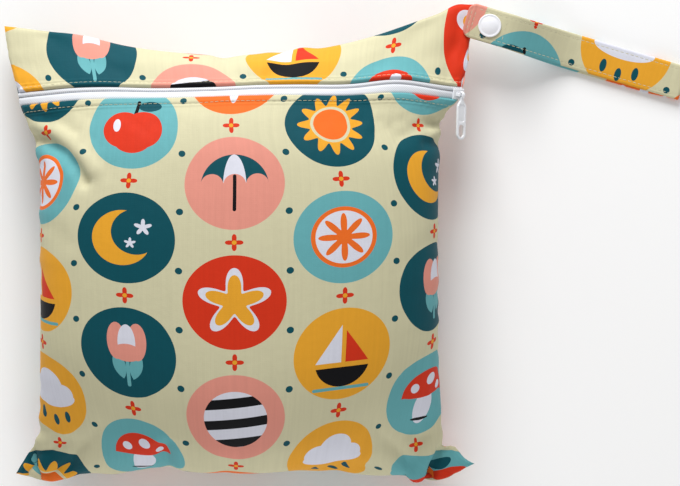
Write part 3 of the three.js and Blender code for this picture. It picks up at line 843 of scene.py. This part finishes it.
class WETBAG_Inks(bpy.types.PropertyGroup):
    cream: ink("Cream", "#CBC6A4")
    teal: ink("Teal", "#034A55")
    orange: ink("Orange", "#E56A22")
    red: ink("Red", "#CF3216")
    mustard: ink("Mustard", "#E2A02C")
    aqua: ink("Aqua", "#63A6AB")
    pink: ink("Pink", "#DC9080")
    white: ink("White", "#D6D7E2")
    black: ink("Black", "#08080C")


class WETBAG_Pattern(bpy.types.PropertyGroup):
    disc_width: size("Disc width", "Width of a printed disc, in millimetres", 56.0)
    cell_width: size("Column width", "Distance between the columns of discs, in millimetres", 60.0)
    cell_height: size("Row height", "Distance between discs in a column, in millimetres", 71.0)


class WETBAG_Cloth(bpy.types.PropertyGroup):
    pucker_depth: size("Pucker depth", "Depth of the side seams' gathers, in millimetres", 0.9)
    pucker_reach: size("Pucker reach", "How far the gathers run inwards, in millimetres", 14.0)
    seam_groove: size("Seam groove", "Depth of the groove along a seam, in millimetres", 1.1)
    lip_rise: size("Lip rise", "How far the folded lips at the zip stand up, in millimetres", 0.8)
    lower_stitch: size("Lower stitches", "From the lower lip to its stitches, in millimetres", 5.4)
    upper_stitch: size("Upper stitches", "From the upper lip to its stitches, in millimetres", 3.4)
    stitch: size("Stitch length", "Length of one stitch, in millimetres", 2.6)
    stitch_gap: size("Stitch gap", "Space between stitches, in millimetres", 0.5)
    thread: size("Thread width", "Width of the sewing thread, in millimetres", 0.36)
    pressure: size("Stuffing pressure", "Pressure that fills the cloth in the simulation", 3.0)
    wrinkle_limit: size("Wrinkle limit", "Most that simulated cloth may move, in millimetres", 4.5)


class WETBAG_Stage(bpy.types.PropertyGroup):
    camera_height: size("Camera height", "Camera above the floor, in metres", 5.0)
    frame_width: size("Frame width", "Width of the picture at the bag's seam, in metres", 0.408)
    key_power: size("Key power", "Power of the large soft light, in watts", 50.0)
    fill_power: size("Fill power", "Power of the low soft light, in watts", 9.5)
    world_strength: size("World strength", "Strength of the even light from all round", 0.43)


class WETBAG_Settings(bpy.types.PropertyGroup):
    inks: bpy.props.PointerProperty(type=WETBAG_Inks, name="Inks", description="Print colours")
    pattern: bpy.props.PointerProperty(
        type=WETBAG_Pattern, name="Pattern", description="Print sizes"
    )
    cloth: bpy.props.PointerProperty(type=WETBAG_Cloth, name="Cloth", description="Cloth sizes")
    stage: bpy.props.PointerProperty(type=WETBAG_Stage, name="Stage", description="View and light")


# Panels

# Columns of points across a panel, and how far the closer rows run from the lips, as shares
ACROSS = np.linspace(0, 1, 201)
LOWER_FINE = LOWER_LIP - 0.036
UPPER_FINE = UPPER_LIP + 0.024
EVEN_KERNEL = np.ones(5) / 5

# The simulation's grid, its frames and how stiff the cloth is
COARSE_ROWS, COARSE_COLUMNS = 65, 61
LAST_FRAME = 22
CLOTH_SETTINGS = {
    "quality": 7,
    "mass": 0.15,
    "air_damping": 3.0,
    "tension_stiffness": 40,
    "compression_stiffness": 30,
    "shear_stiffness": 6,
    "bending_stiffness": 0.015,
    "use_pressure": True,
}


def seam_puckers(across, along, cloth, edge_distance):
    """Gathers that run in from the side seams, uneven in depth and spacing."""
    length = along * FLAT_HEIGHT
    left = across < 0.5
    phase = np.where(left, length / 2.1, length / 2.4 + 1.7)
    wave = np.sin(phase + 1.3 * np.sin(length / 17.0)) + 0.6 * np.sin(phase * 0.53 + 2.0)
    strength = 0.5 + 0.5 * np.sin(length / 23.0 + np.where(left, 0.4, 2.6))
    fade = np.exp(-edge_distance / cloth.pucker_reach)
    ends = smooth_step(along, 0.03, 0.10) * smooth_step(1 - along, 0.02, 0.06)
    return cloth.pucker_depth * wave * strength * fade * ends


def lip_profile(distance, stitch_line, rise):
    """Height of the folded lip over the panel, at a distance from its edge."""
    roll = smooth_step(distance, -0.2, 1.1) - 0.9 * (1 - smooth_step(distance, 0, 0.9))
    pad = rise * roll * (1 - smooth_step(distance, stitch_line, stitch_line + 2.4))
    groove = 0.75 * bell(distance - stitch_line, 0.9)
    return pad - groove


def stitch_puckers(place, distance):
    """Small even gathers that the stitches pull into the cloth beside them."""
    beat = np.sin(place * 2 * np.pi / 5.1 + 0.8 * np.sin(place / 13.0))
    return 0.16 * beat * bell(distance, 2.2) * np.abs(distance) ** 0.5


def panel_grid(side, along, lip=None, stitch_line=0.0):
    """Inner and outer skins of a panel, its flat places and its outward directions."""
    cloth = bpy.context.scene.wet_bag.cloth
    a, b = np.meshgrid(ACROSS, along)
    points = skin(side, a, b)
    out = outward(points, side)
    share = row_share(points)
    edge = np.minimum(share, 1 - share) * FLAT_WIDTH
    up = column_length(points)
    relief = seam_puckers(a, b, cloth, edge)
    if side == "front":
        near_zip = 1 - bell((b - BAND_LINE) * FLAT_HEIGHT, 9.0)
        creases = crease_depth(points[..., 0], points[..., 1])
        if along[0] == 0:
            creases *= smooth_step(up, 0, 4)
        if along[-1] == 1:
            creases *= smooth_step(up[-1] - up, 0, 4)
        relief -= creases * smooth_step(edge, 0, 5) * near_zip
    groove = bell(edge, 1.6)
    if along[0] == 0:
        groove = np.maximum(groove, bell(up, 1.6))
    if along[-1] == 1:
        groove = np.maximum(groove, bell(up[-1] - up, 1.6))
    wall = CLOTH - cloth.seam_groove * groove
    if lip is not None:
        distance = up if lip == "first" else up[-1] - up
        wall -= stitch_puckers(share * FLAT_WIDTH, distance - stitch_line)
        wall += lip_profile(distance, stitch_line, cloth.lip_rise) * smooth_step(edge, 0, 5)
    inner = points + out * relief[..., None]
    if side == "back":
        inner[..., 2] = np.maximum(inner[..., 2], CLOTH)
    outer = inner + out * wall[..., None]
    flat_x = (share - 0.5) * FLAT_WIDTH
    middle = up[:, up.shape[1] // 2]
    flat_y = up / up[-1] * middle[-1]
    return inner, outer, np.stack([flat_x, flat_y], -1), out


def build_panel(name, side, along, shift, lip=None, stitch_line=0.0):
    """Makes a panel, and returns its outer skin and outward directions for its stitches."""
    inner, outer, flat, out = panel_grid(side, along, lip, stitch_line)
    outer[..., 2] = np.maximum(outer[..., 2], 0)
    piece = closed_sheet(name, outer, inner, flat + np.array(shift), flip=side == "back")
    finish_piece(piece, knit(), "printed_cloth", name.replace("Cloth_", ""))
    return outer, out


class WETBAG_OT_settle(bpy.types.Operator):
    """Fills the flat-cut cloth with pressure, so that it wrinkles where the seams gather it"""

    bl_idname = "wet_bag.settle"
    bl_label = "Settle cloth"

    def execute(self, context):
        cloth = context.scene.wet_bag.cloth
        rows, columns = COARSE_ROWS, COARSE_COLUMNS
        a, b = np.meshgrid(np.linspace(0, 1, columns), np.linspace(0, 1, rows))
        front, back = body_skin("front", a, b), body_skin("back", a, b)
        grid = np.arange(rows * columns).reshape(rows, columns)
        under = grid.copy()
        inner = (rows - 2) * (columns - 2)
        under[1:-1, 1:-1] = rows * columns + np.arange(inner).reshape(rows - 2, columns - 2)
        verts = np.concatenate([front.reshape(-1, 3), back[1:-1, 1:-1].reshape(-1, 3)])
        faces = grid_faces(grid), grid_faces(under)[:, ::-1]
        pillow = new_object("Settling_cloth", verts, np.concatenate(faces).tolist())
        flat = np.zeros_like(verts)
        for points, index in ((front, grid), (back, under)):
            x = (row_share(points) - 0.5) * FLAT_WIDTH
            lengths = column_length(points)
            worn = lengths - lengths[-1:] / 2
            cut = (b - 0.5) * FLAT_HEIGHT
            flat[index.ravel(), 0] = x.ravel()
            flat[index.ravel(), 1] = (0.25 * worn + 0.75 * cut).ravel()
        pillow.shape_key_add(name="Worn")
        key = pillow.shape_key_add(name="Cut flat")
        key.data.foreach_set("co", (flat * MM).ravel())
        key.value = 0.0
        held = pillow.vertex_groups.new(name="Held")
        near_zip = np.abs(b - BAND_LINE) < 0.035
        corner = (np.minimum(b, 1 - b) < 0.03) & (np.minimum(a, 1 - a) < 0.08)
        held.add([int(i) for i in grid[near_zip | corner]], 1.0, "REPLACE")

        modifier = pillow.modifiers.new("Cloth", "CLOTH")
        settings = modifier.settings
        for name, value in CLOTH_SETTINGS.items():
            setattr(settings, name, value)
        settings.uniform_pressure_force = cloth.pressure
        settings.vertex_group_mass = "Held"
        settings.rest_shape_key = key
        settings.effector_weights.gravity = 0
        modifier.point_cache.frame_start = 1
        modifier.point_cache.frame_end = LAST_FRAME + 2
        for number in range(1, LAST_FRAME + 1):
            context.scene.frame_set(number)
        graph = context.evaluated_depsgraph_get()
        shape = pillow.evaluated_get(graph).to_mesh()
        moved = np.zeros(len(verts) * 3)
        shape.vertices.foreach_get("co", moved)
        moved = moved.reshape(-1, 3) / MM - verts
        if not np.isfinite(moved).all():
            raise RuntimeError("the cloth did not settle")
        context.scene.frame_set(1)
        bpy.data.objects.remove(pillow)
        zip_fade = smooth_step(np.abs(b - BAND_LINE), 0.03, 0.09)
        for side, index in (("front", grid), ("back", under)):
            field = moved[index]
            fine = field - soften(field, 8)
            far = np.linalg.norm(fine, axis=-1, keepdims=True)
            fine *= cloth.wrinkle_limit / np.maximum(far, cloth.wrinkle_limit)
            if side == "front":
                fine *= zip_fade[..., None]
            SETTLED[side] = fine
        return {"FINISHED"}


def soften(field, rounds):
    """A field averaged over its neighbours, so that only its broad shape is left."""
    for axis in (0, 1):
        for _ in range(rounds):
            padding = [(1, 1) if k == axis else (0, 0) for k in range(field.ndim)]
            padded = np.pad(field, padding, mode="edge")
            low = np.take(padded, range(field.shape[axis]), axis=axis)
            high = np.take(padded, range(2, field.shape[axis] + 2), axis=axis)
            field = 0.25 * low + 0.5 * field + 0.25 * high
    return field


class WETBAG_OT_panels(bpy.types.Operator):
    """Makes the back panel, the lower front panel and the top front panel"""

    bl_idname = "wet_bag.panels"
    bl_label = "Cloth panels"

    def execute(self, context):
        cloth = context.scene.wet_bag.cloth
        lower = np.linspace(0, LOWER_FINE, 104)[:-1], np.linspace(LOWER_FINE, LOWER_LIP, 22)
        top = np.linspace(UPPER_LIP, UPPER_FINE, 16)[:-1], np.linspace(UPPER_FINE, 1, 18)
        lips = []
        for name, row, along, shift, lip, line in (
            ("front_lower_panel", "lower_lip", lower, (152, 36), "last", cloth.lower_stitch),
            ("front_top_panel", "upper_lip", top, (178, 118), "first", cloth.upper_stitch),
        ):
            along = np.concatenate(along)
            outer, out = build_panel("Cloth_" + name, "front", along, shift, lip, line)
            lips.append(("Stitches_" + row, outer, out, lip, line))
        build_panel("Cloth_back_panel", "back", np.linspace(0, 1, 120), (31, 5))
        for values in lips:
            self.topstitch(*values)
        return {"FINISHED"}

    def topstitch(self, name, outer, out, lip, line):
        """A row of stitches along a lip, smoothed over its neighbours, short of the side seams."""
        up = column_length(outer)
        distance = up if lip == "first" else up[-1] - up
        columns = np.arange(len(ACROSS))[4:-4]
        rows = np.abs(distance - line).argmin(axis=0)[4:-4]
        points, normals = outer[rows, columns], out[rows, columns]
        smooth = [np.convolve(points[:, k], EVEN_KERNEL, mode="valid") for k in range(3)]
        stitch_row(name, np.stack(smooth, -1), normals[2:-2])


class WETBAG_OT_zip(bpy.types.Operator):
    """Makes the two zip tapes that meet over the coil, and gives the coil its finish"""

    bl_idname = "wet_bag.zip"
    bl_label = "Zip tapes"

    def execute(self, context):
        across = np.linspace(0.003, 0.997, 181)
        for name, side, ridge_place, ridge_width in (
            ("zip_tape_lower", -1, -1.6, 2.3),
            ("zip_tape_upper", 1, 2.15, 1.15),
        ):
            meet = 0.85 + 0.1 * side
            away = np.sort(np.linspace(meet, side * TAPE_REACH, 30))
            a, b = np.meshgrid(across, BAND_LINE + away / FLAT_HEIGHT)
            points = skin("front", a, b)
            out = outward(points, "front")
            distance = (b - BAND_LINE) * FLAT_HEIGHT
            ridge = 1.3 * np.exp(-np.abs((distance - ridge_place) / ridge_width) ** 4)
            wander = 0.12 * np.sin(a * 23) + 0.08 * np.sin(a * 61 + 1)
            outer = points + out * (ridge - 0.35 + wander)[..., None]
            inner = points - out * 1.1
            flat = np.stack([(row_share(points) - 0.5) * FLAT_WIDTH, distance], -1)
            piece = closed_sheet("Tape_" + name, outer, inner, flat)
            finish_piece(piece, shared("tape", woven_tape), "zip_tape", name)
        finish_nodes(nylon(), "zip_coil", "zip_slider")
        return {"FINISHED"}


# Zip hardware sizes
PLATE_BASE = 0.4
PLATE = 1.3
BAR = 1.4
EYE_GAP = 0.35
EYE_WALL = 1.1
EYE_INNER = BAR / 2 + EYE_GAP
EYE_OUTER = EYE_INNER + EYE_WALL
BAR_HEIGHT = PLATE_BASE + PLATE + EYE_GAP + EYE_OUTER
SLIDER_STATION = 0.952
PULL_LENGTH = 29.0
PULL_WIDTH = 7.2
PULL_THICK = 1.5
PULL_LIFT = math.radians(8)
NECK = 2.2
WINDOW_RADIUS = 2.35
WINDOW_RUN = 3.4
PANEL_DEPTH = 0.35


def zip_frame(station):
    """A frame on the zip: X along it, Y across it to the top seam, Z out of the bag."""
    step_a, step_b = 0.025, 0.01
    a = np.array([max(station - step_a, 0), min(station + step_a, 1), station, station])
    b = np.array([BAND_LINE, BAND_LINE, BAND_LINE - step_b, BAND_LINE + step_b])
    p = body_skin("front", a, b)
    out = np.cross(p[1] - p[0], p[3] - p[2])
    out /= np.linalg.norm(out)
    near = body_skin("front", np.array([station - 0.005, station + 0.005]), BAND_LINE)
    run = near[1] - near[0]
    across = np.cross(out, run)
    across /= np.linalg.norm(across)
    run = np.cross(across, out)
    origin = body_skin("front", np.array([station]), BAND_LINE)[0] + np.array([0, 0, 0.15])
    rows = np.eye(4)
    rows[:3, 0], rows[:3, 1], rows[:3, 2], rows[:3, 3] = run, across, out, origin
    return Matrix(rows.tolist())


def bevelled_plate(name, outlines, thickness, bevel):
    """A flat plate with rounded edges, cut out along closed outlines of (x, y) points."""
    curve = bpy.data.curves.new(name, "CURVE")
    curve.dimensions = "2D"
    curve.fill_mode = "BOTH"
    curve.extrude = thickness / 2 - bevel
    curve.bevel_depth = bevel
    curve.bevel_resolution = 2
    for outline in outlines:
        spline = curve.splines.new("POLY")
        spline.points.add(len(outline) - 1)
        for point, (x, y) in zip(spline.points, outline):
            point.co = (x, y, 0, 1)
        spline.use_cyclic_u = True
    shape = bpy.data.objects.new(name, curve)
    bpy.context.scene.collection.objects.link(shape)
    graph = bpy.context.evaluated_depsgraph_get()
    mesh = bpy.data.meshes.new_from_object(shape.evaluated_get(graph))
    bpy.data.objects.remove(shape)
    work = bmesh.new()
    work.from_mesh(mesh)
    bpy.data.meshes.remove(mesh)
    bmesh.ops.remove_doubles(work, verts=work.verts, dist=0.01)
    return work


def arc(x, y, radius, start, end, count):
    angles = np.radians(np.linspace(start, end, count))
    return [(x + radius * math.cos(t), y + radius * math.sin(t)) for t in angles]


def eased(x0, y0, x1, y1, count):
    """Points of an S curve between two places, level at both ends along Y."""
    shares = np.linspace(0, 1, count)
    return [(x0 + (x1 - x0) * t * t * (3 - 2 * t), y0 + (y1 - y0) * t) for t in shares]


class WETBAG_OT_pull(bpy.types.Operator):
    """Makes the pull tab: a rounded plate with a sunk panel, a window and an eye round the bar"""

    bl_idname = "wet_bag.pull"
    bl_label = "Pull tab"

    def execute(self, context):
        half = PULL_WIDTH / 2 - 0.35
        neck = NECK / 2 - 0.2
        end = -(PULL_LENGTH - EYE_OUTER - PULL_WIDTH / 2)
        shoulder = -EYE_OUTER - 5.0
        top = -EYE_OUTER + 0.3
        side = eased(neck, top - 1.0, half, shoulder, 9)
        outline = [(neck, top)] + side + arc(0, end, half, 0, -180, 25)
        outline += [(-x, y) for x, y in reversed(side)] + [(-neck, top)]
        window = arc(0, end, WINDOW_RADIUS, 180, 360, 15)
        window += arc(0, end + WINDOW_RUN, WINDOW_RADIUS, 0, 180, 15)
        rim = half - 0.7
        panel_low = end + 6.8
        panel = [(rim, shoulder - 0.6), (rim, panel_low)]
        panel += [(x, panel_low + 0.9 * (x / rim) ** 2) for x in np.linspace(rim, -rim, 11)[1:-1]]
        panel += [(-rim, panel_low), (-rim, shoulder - 0.6)]
        panel += arc(0, shoulder - 0.6, rim, 180, 0, 13)[1:-1]
        work = bevelled_plate("Pull", [outline, window, panel], PULL_THICK, 0.32)
        sunk = bevelled_plate("Sunk", [panel], PULL_THICK - 2 * PANEL_DEPTH, 0.12)
        sunk_mesh = bpy.data.meshes.new("Sunk")
        for vert in sunk.verts:
            vert.co.x *= 1.14
            vert.co.y = (vert.co.y - panel_low) * 1.03 + panel_low - 0.3
        sunk.to_mesh(sunk_mesh)
        work.from_mesh(sunk_mesh)
        sunk.free()
        bpy.data.meshes.remove(sunk_mesh)
        self.add_eye(work)
        mesh = bpy.data.meshes.new("Pull_tab")
        bmesh.ops.scale(work, vec=(MM, MM, MM), verts=work.verts)
        work.to_mesh(mesh)
        work.free()
        mesh.polygons.foreach_set("use_smooth", [True] * len(mesh.polygons))
        mesh.set_sharp_from_angle(angle=math.radians(50))
        piece = bpy.data.objects.new("Pull_tab", mesh)
        context.scene.collection.objects.link(piece)
        onto_zip = zip_frame(SLIDER_STATION)
        onto_zip.translation = onto_zip.translation * MM
        lift = Matrix.Translation((0, 0, BAR_HEIGHT * MM)) @ Matrix.Rotation(-PULL_LIFT, 4, "X")
        mesh.transform(onto_zip @ lift)
        finish_piece(piece, nylon(), "zip_nylon", "zip_pull", body="pull")
        return {"FINISHED"}

    def add_eye(self, work):
        """The ring that runs on the slider's bar, with rounded lips."""
        middle, thick = (EYE_INNER + EYE_OUTER) / 2, EYE_WALL / 2
        section = []
        for angle in np.linspace(0, 2 * math.pi, 12, endpoint=False):
            c, s = math.cos(angle), math.sin(angle)
            wide = NECK / 2 * np.sign(c) * abs(c) ** 0.6
            section.append((wide, middle + thick * np.sign(s) * abs(s) ** 0.8))
        rings = []
        for angle in np.linspace(0, 2 * math.pi, 32, endpoint=False):
            rings.append([
                work.verts.new((x, r * math.cos(angle), r * math.sin(angle))) for x, r in section
            ])
        for k, ring in enumerate(rings):
            after = rings[(k + 1) % len(rings)]
            for j in range(len(section)):
                n = (j + 1) % len(section)
                work.faces.new((ring[j], ring[n], after[n], after[j]))


# Strap sizes
STRAP_LENGTH = 133.0
STRAP_WIDTH = 20.8
STRAP_WALL = 1.6
STRAP_PITCH = 2.3
STRAP_TURN = math.radians(-16.4)
STRAP_DROP = 70.0
FREE_OVERLAP = 3.5
FREE_CURL = 1.2
FREE_ROUNDING = 5.0
SNAP_WIDTH = 14.1
SNAP_DOME = 2.2
SNAP_CORE_WIDTH = 10.4
SNAP_CORE = 3.0
SNAP_STATION = 11.5
LAYER_GAP = 0.35
EAR_SHARE = 0.977
ROOT = body_skin("front", np.array([1.0]), EAR_SHARE)[0]
ROOT_HEIGHT = ROOT[2] + 0.15 + CLOTH / 2
FOLD_RADIUS = STRAP_PITCH / 2
STRAIGHT = STRAP_LENGTH - FOLD_RADIUS
ROOT_START = 0.9 + CLOTH
EDGE_ROW = 2.2
END_ROWS = (2.2, 4.6, 24.5)
TURNED = np.array(Matrix.Rotation(STRAP_TURN, 3, "Z"))


def strap_place(points):
    """The strap's own points, turned and moved to its root on the bag."""
    return points @ TURNED.T + np.array([ROOT[0], ROOT[1], 0])


def strap_low(distance):
    fall = 1 - smooth_step(distance, SNAP_STATION + SNAP_WIDTH / 2, STRAP_DROP)
    return STRAP_WALL / 2 + (ROOT_HEIGHT - STRAP_WALL / 2) * fall


def strap_pitch(distance):
    wide = SNAP_CORE + STRAP_WALL + 2 * LAYER_GAP
    blend = smooth_step(distance, SNAP_STATION + SNAP_CORE_WIDTH / 2, STRAP_DROP)
    return wide + (STRAP_PITCH - wide) * blend


def strap_path():
    """The band's middle line from the root, out to the fold and back to the free end."""
    out = np.linspace(ROOT_START, STRAIGHT, 90)
    low = np.stack([out, strap_low(out)], -1)
    turn = np.linspace(0, math.pi, 12)[1:-1]
    bend = np.stack([
        STRAIGHT + FOLD_RADIUS * np.sin(turn),
        STRAP_WALL / 2 + FOLD_RADIUS * (1 - np.cos(turn)),
    ], -1)
    home = np.concatenate([
        np.linspace(STRAIGHT, 5 - FREE_OVERLAP, 88)[:-1],
        np.linspace(5 - FREE_OVERLAP, -FREE_OVERLAP, 12),
    ])
    curl = FREE_CURL * smooth_step(-home, -SNAP_STATION / 2, FREE_OVERLAP)
    high = np.stack([home, strap_low(home) + strap_pitch(home) + curl], -1)
    return np.concatenate([low, bend, high]), len(out) + len(turn)


class WETBAG_OT_strap(bpy.types.Operator):
    """Makes the wrist strap, folded back over itself, with its rows of stitches"""

    bl_idname = "wet_bag.strap"
    bl_label = "Wrist strap"

    def execute(self, context):
        path, first_high = strap_path()
        far = line_length(path)
        slope = np.gradient(path, axis=0)
        slope /= np.linalg.norm(slope, axis=1, keepdims=True)
        to_end = far[-1] - far
        rounding = np.maximum(FREE_ROUNDING - to_end, 0)
        half = STRAP_WIDTH / 2 - (FREE_ROUNDING - np.sqrt(FREE_ROUNDING**2 - rounding**2))
        across = np.linspace(-1, 1, 25)
        grid = np.zeros((len(path), len(across), 3))
        grid[..., 0] = path[:, :1]
        grid[..., 1] = across * half[:, None]
        grid[..., 2] = path[:, 1:]
        high = (np.arange(len(path)) >= first_high)[:, None]
        distance = path[:, :1]
        # The lower layer lies a little askew, so its edge shows below the upper one.
        skew = np.where(high, 0, -1.1) * smooth_step(distance, 15, 60)
        skew *= 1 - smooth_step(distance, STRAIGHT - 20, STRAIGHT)
        grid[..., 1] += skew
        # Slack behind the snap and along the band
        ripple = 0.7 * bell(distance - 27, 7) - 0.5 * bell(distance - 41, 6)
        ripple = ripple + 0.35 * np.sin(distance / 9.0) * smooth_step(distance, 45, 60)
        ripple = ripple * (0.5 + 0.5 * across) * high * (1 - smooth_step(distance, 110, 125))
        grid[..., 2] += np.maximum(ripple, -0.25)
        normal = np.stack([-slope[:, 1], np.zeros(len(path)), slope[:, 0]], -1)[:, None, :]
        rim = np.abs(across) * half[:, None]
        inset = half[:, None] - rim
        puff = 1 - 0.75 * bell(inset, 0.55)
        groove = 0.28 * bell(inset - EDGE_ROW, 0.5)
        for line in END_ROWS:
            groove = groove + 0.3 * bell(to_end[:, None] - line, 0.6)
        thick = STRAP_WALL / 2 * puff
        outer = grid + normal * thick[..., None]
        inner = grid - normal * (thick - groove)[..., None]
        flat = np.stack([far[:, None] + 37 + 0 * rim, across * half[:, None] + 60], -1)
        piece = closed_sheet("Strap_band", strap_place(outer), strap_place(inner), flat, True)
        piece.data.flip_normals()
        finish_piece(piece, knit(), "printed_cloth", "wrist_strap")
        if min(vertex.co.z for vertex in piece.data.vertices) < -0.2 * MM:
            raise RuntimeError("the strap reaches under the floor")
        self.sew(inner, -normal, inset, to_end, first_high)
        return {"FINISHED"}

    def sew(self, grid, normal, inset, to_end, first_high):
        """Stitches along both edges of the free layer, across its end and behind the snap."""
        near = np.abs(inset[10] - EDGE_ROW).argmin()
        free = slice(first_high + 2, len(grid) - 10)
        rows = [("edge_far", grid[free, -1 - near], normal[free, 0])]
        rows.append(("edge_near", grid[free, near], normal[free, 0]))
        for name, line in zip(("end", "end_again", "behind_snap"), END_ROWS):
            row = np.abs(to_end - line).argmin()
            rows.append((name, grid[row, 4:-4], np.repeat(normal[row], grid.shape[1] - 8, 0)))
        for name, points, normals in rows:
            stitch_row("Stitches_strap_" + name, strap_place(points), normals @ TURNED.T)


class WETBAG_OT_snap(bpy.types.Operator):
    """Makes the press snap's round cap with its raised rim, and gives its other pieces a finish"""

    bl_idname = "wet_bag.snap"
    bl_label = "Press snap"

    def execute(self, context):
        resin = shared("resin", moulded_plastic, "Moulded resin", "#E9EAF0", "#F6F6FA", 0.2, 4.0)
        radius = SNAP_WIDTH / 2
        profile = [(0, 0), (radius - 0.5, 0)]
        for t in np.radians(np.linspace(-80, 90, 8)):
            profile.append((radius - 0.55 + 0.5 * math.cos(t), 0.62 + 0.55 * math.sin(t)))
        profile += [(radius - 0.95, 1.12), (radius - 1.3, 1.02)]
        dish = radius - 1.5
        for t in np.linspace(0, 1, 9)[:-1]:
            reach = dish * (1 - t)
            profile.append((reach, 1.0 + (SNAP_DOME - 1.0) * (1 - (reach / dish) ** 2)))
        profile.append((0, SNAP_DOME))
        height = strap_low(SNAP_STATION) + strap_pitch(SNAP_STATION) + STRAP_WALL / 2 + 0.05
        cap = turned_profile("Snap_cap", profile, 64, strap_place((SNAP_STATION, 0, height)))
        finish_piece(cap, resin, "snap_resin", "snap_cap")
        finish_nodes(resin, "snap_core", "snap_back")
        return {"FINISHED"}


# Stage, in millimetres: the floor lies just under the bag, so that the two never meet in one plane
FLOOR_REACH = 6000.0
FLOOR_LEVEL = -0.3


class WETBAG_OT_stage(bpy.types.Operator):
    """Makes the pale floor, the soft studio lights and the camera above the bag"""

    bl_idname = "wet_bag.stage"
    bl_label = "Stage"

    def execute(self, context):
        stage = context.scene.wet_bag.stage
        ends = ((-1, -1), (1, -1), (1, 1), (-1, 1))
        corners = [(x * FLOOR_REACH, y * FLOOR_REACH, FLOOR_LEVEL) for x, y in ends]
        floor = new_object("Floor", corners, [(0, 1, 2, 3)], smooth=False)
        material, _, shader = new_material("Pale painted floor", 0.85)
        shader.inputs["Base Color"].default_value = linear("#FCFCFC")
        floor.data.materials.append(material)
        self.light("Key", (-0.2, 1.9, 1.0), 1.1, stage.key_power)
        self.light("Fill", (0.2, -1.7, 0.5), 1.0, stage.fill_power)
        world = context.scene.world or bpy.data.worlds.new("Studio")
        context.scene.world = world
        world.use_nodes = True
        background = world.node_tree.nodes["Background"]
        background.inputs["Color"].default_value = (1, 1, 1, 1)
        background.inputs["Strength"].default_value = stage.world_strength
        context.scene.view_settings.view_transform = "Standard"
        self.camera(context, stage)
        return {"FINISHED"}

    def light(self, name, place, width, power):
        data = bpy.data.lights.new(name, "AREA")
        data.size = width
        data.energy = power
        lamp = bpy.data.objects.new(name, data)
        bpy.context.scene.collection.objects.link(lamp)
        lamp.location = place
        lamp.rotation_euler = (-Vector(place)).to_track_quat("-Z", "Y").to_euler()

    def camera(self, context, stage):
        # The photo's middle lies 60 mm right of the bag's and 11.4 mm up, and its seam 35 mm high.
        middle, seam_height = (0.060, 0.0114), 0.035
        data = bpy.data.cameras.new("Above")
        data.lens = data.sensor_width * (stage.camera_height - seam_height) / stage.frame_width
        data.clip_start = 0.01
        camera = bpy.data.objects.new("Above", data)
        context.scene.collection.objects.link(camera)
        camera.location = (*middle, stage.camera_height)
        context.scene.camera = camera


class WETBAG_PT_panel(bpy.types.Panel):
    """Lists the wet bag's steps and sizes"""

    bl_idname = "WETBAG_PT_panel"
    bl_label = "Wet Bag"
    bl_space_type = "VIEW_3D"
    bl_region_type = "UI"
    bl_category = "Wet Bag"

    def draw(self, context):
        for step in STEPS:
            self.layout.operator(step.bl_idname)
        settings = context.scene.wet_bag
        for group in (settings.inks, settings.pattern, settings.cloth, settings.stage):
            for name in own_names(group):
                self.layout.prop(group, name)


STEPS = (
    WETBAG_OT_stage,
    WETBAG_OT_settle,
    WETBAG_OT_panels,
    WETBAG_OT_zip,
    WETBAG_OT_pull,
    WETBAG_OT_strap,
    WETBAG_OT_snap,
)
GROUPS = (WETBAG_Inks, WETBAG_Pattern, WETBAG_Cloth, WETBAG_Stage, WETBAG_Settings)


def register():
    for cls in GROUPS + STEPS + (WETBAG_PT_panel,):
        bpy.utils.register_class(cls)
    bpy.types.Scene.wet_bag = bpy.props.PointerProperty(type=WETBAG_Settings)


def unregister():
    del bpy.types.Scene.wet_bag
    for cls in reversed(GROUPS + STEPS + (WETBAG_PT_panel,)):
        bpy.utils.unregister_class(cls)


def main():
    register()
    for step in STEPS:
        group, name = step.bl_idname.split(".")
        getattr(getattr(bpy.ops, group), name)()


if __name__ == "__main__":
    main()
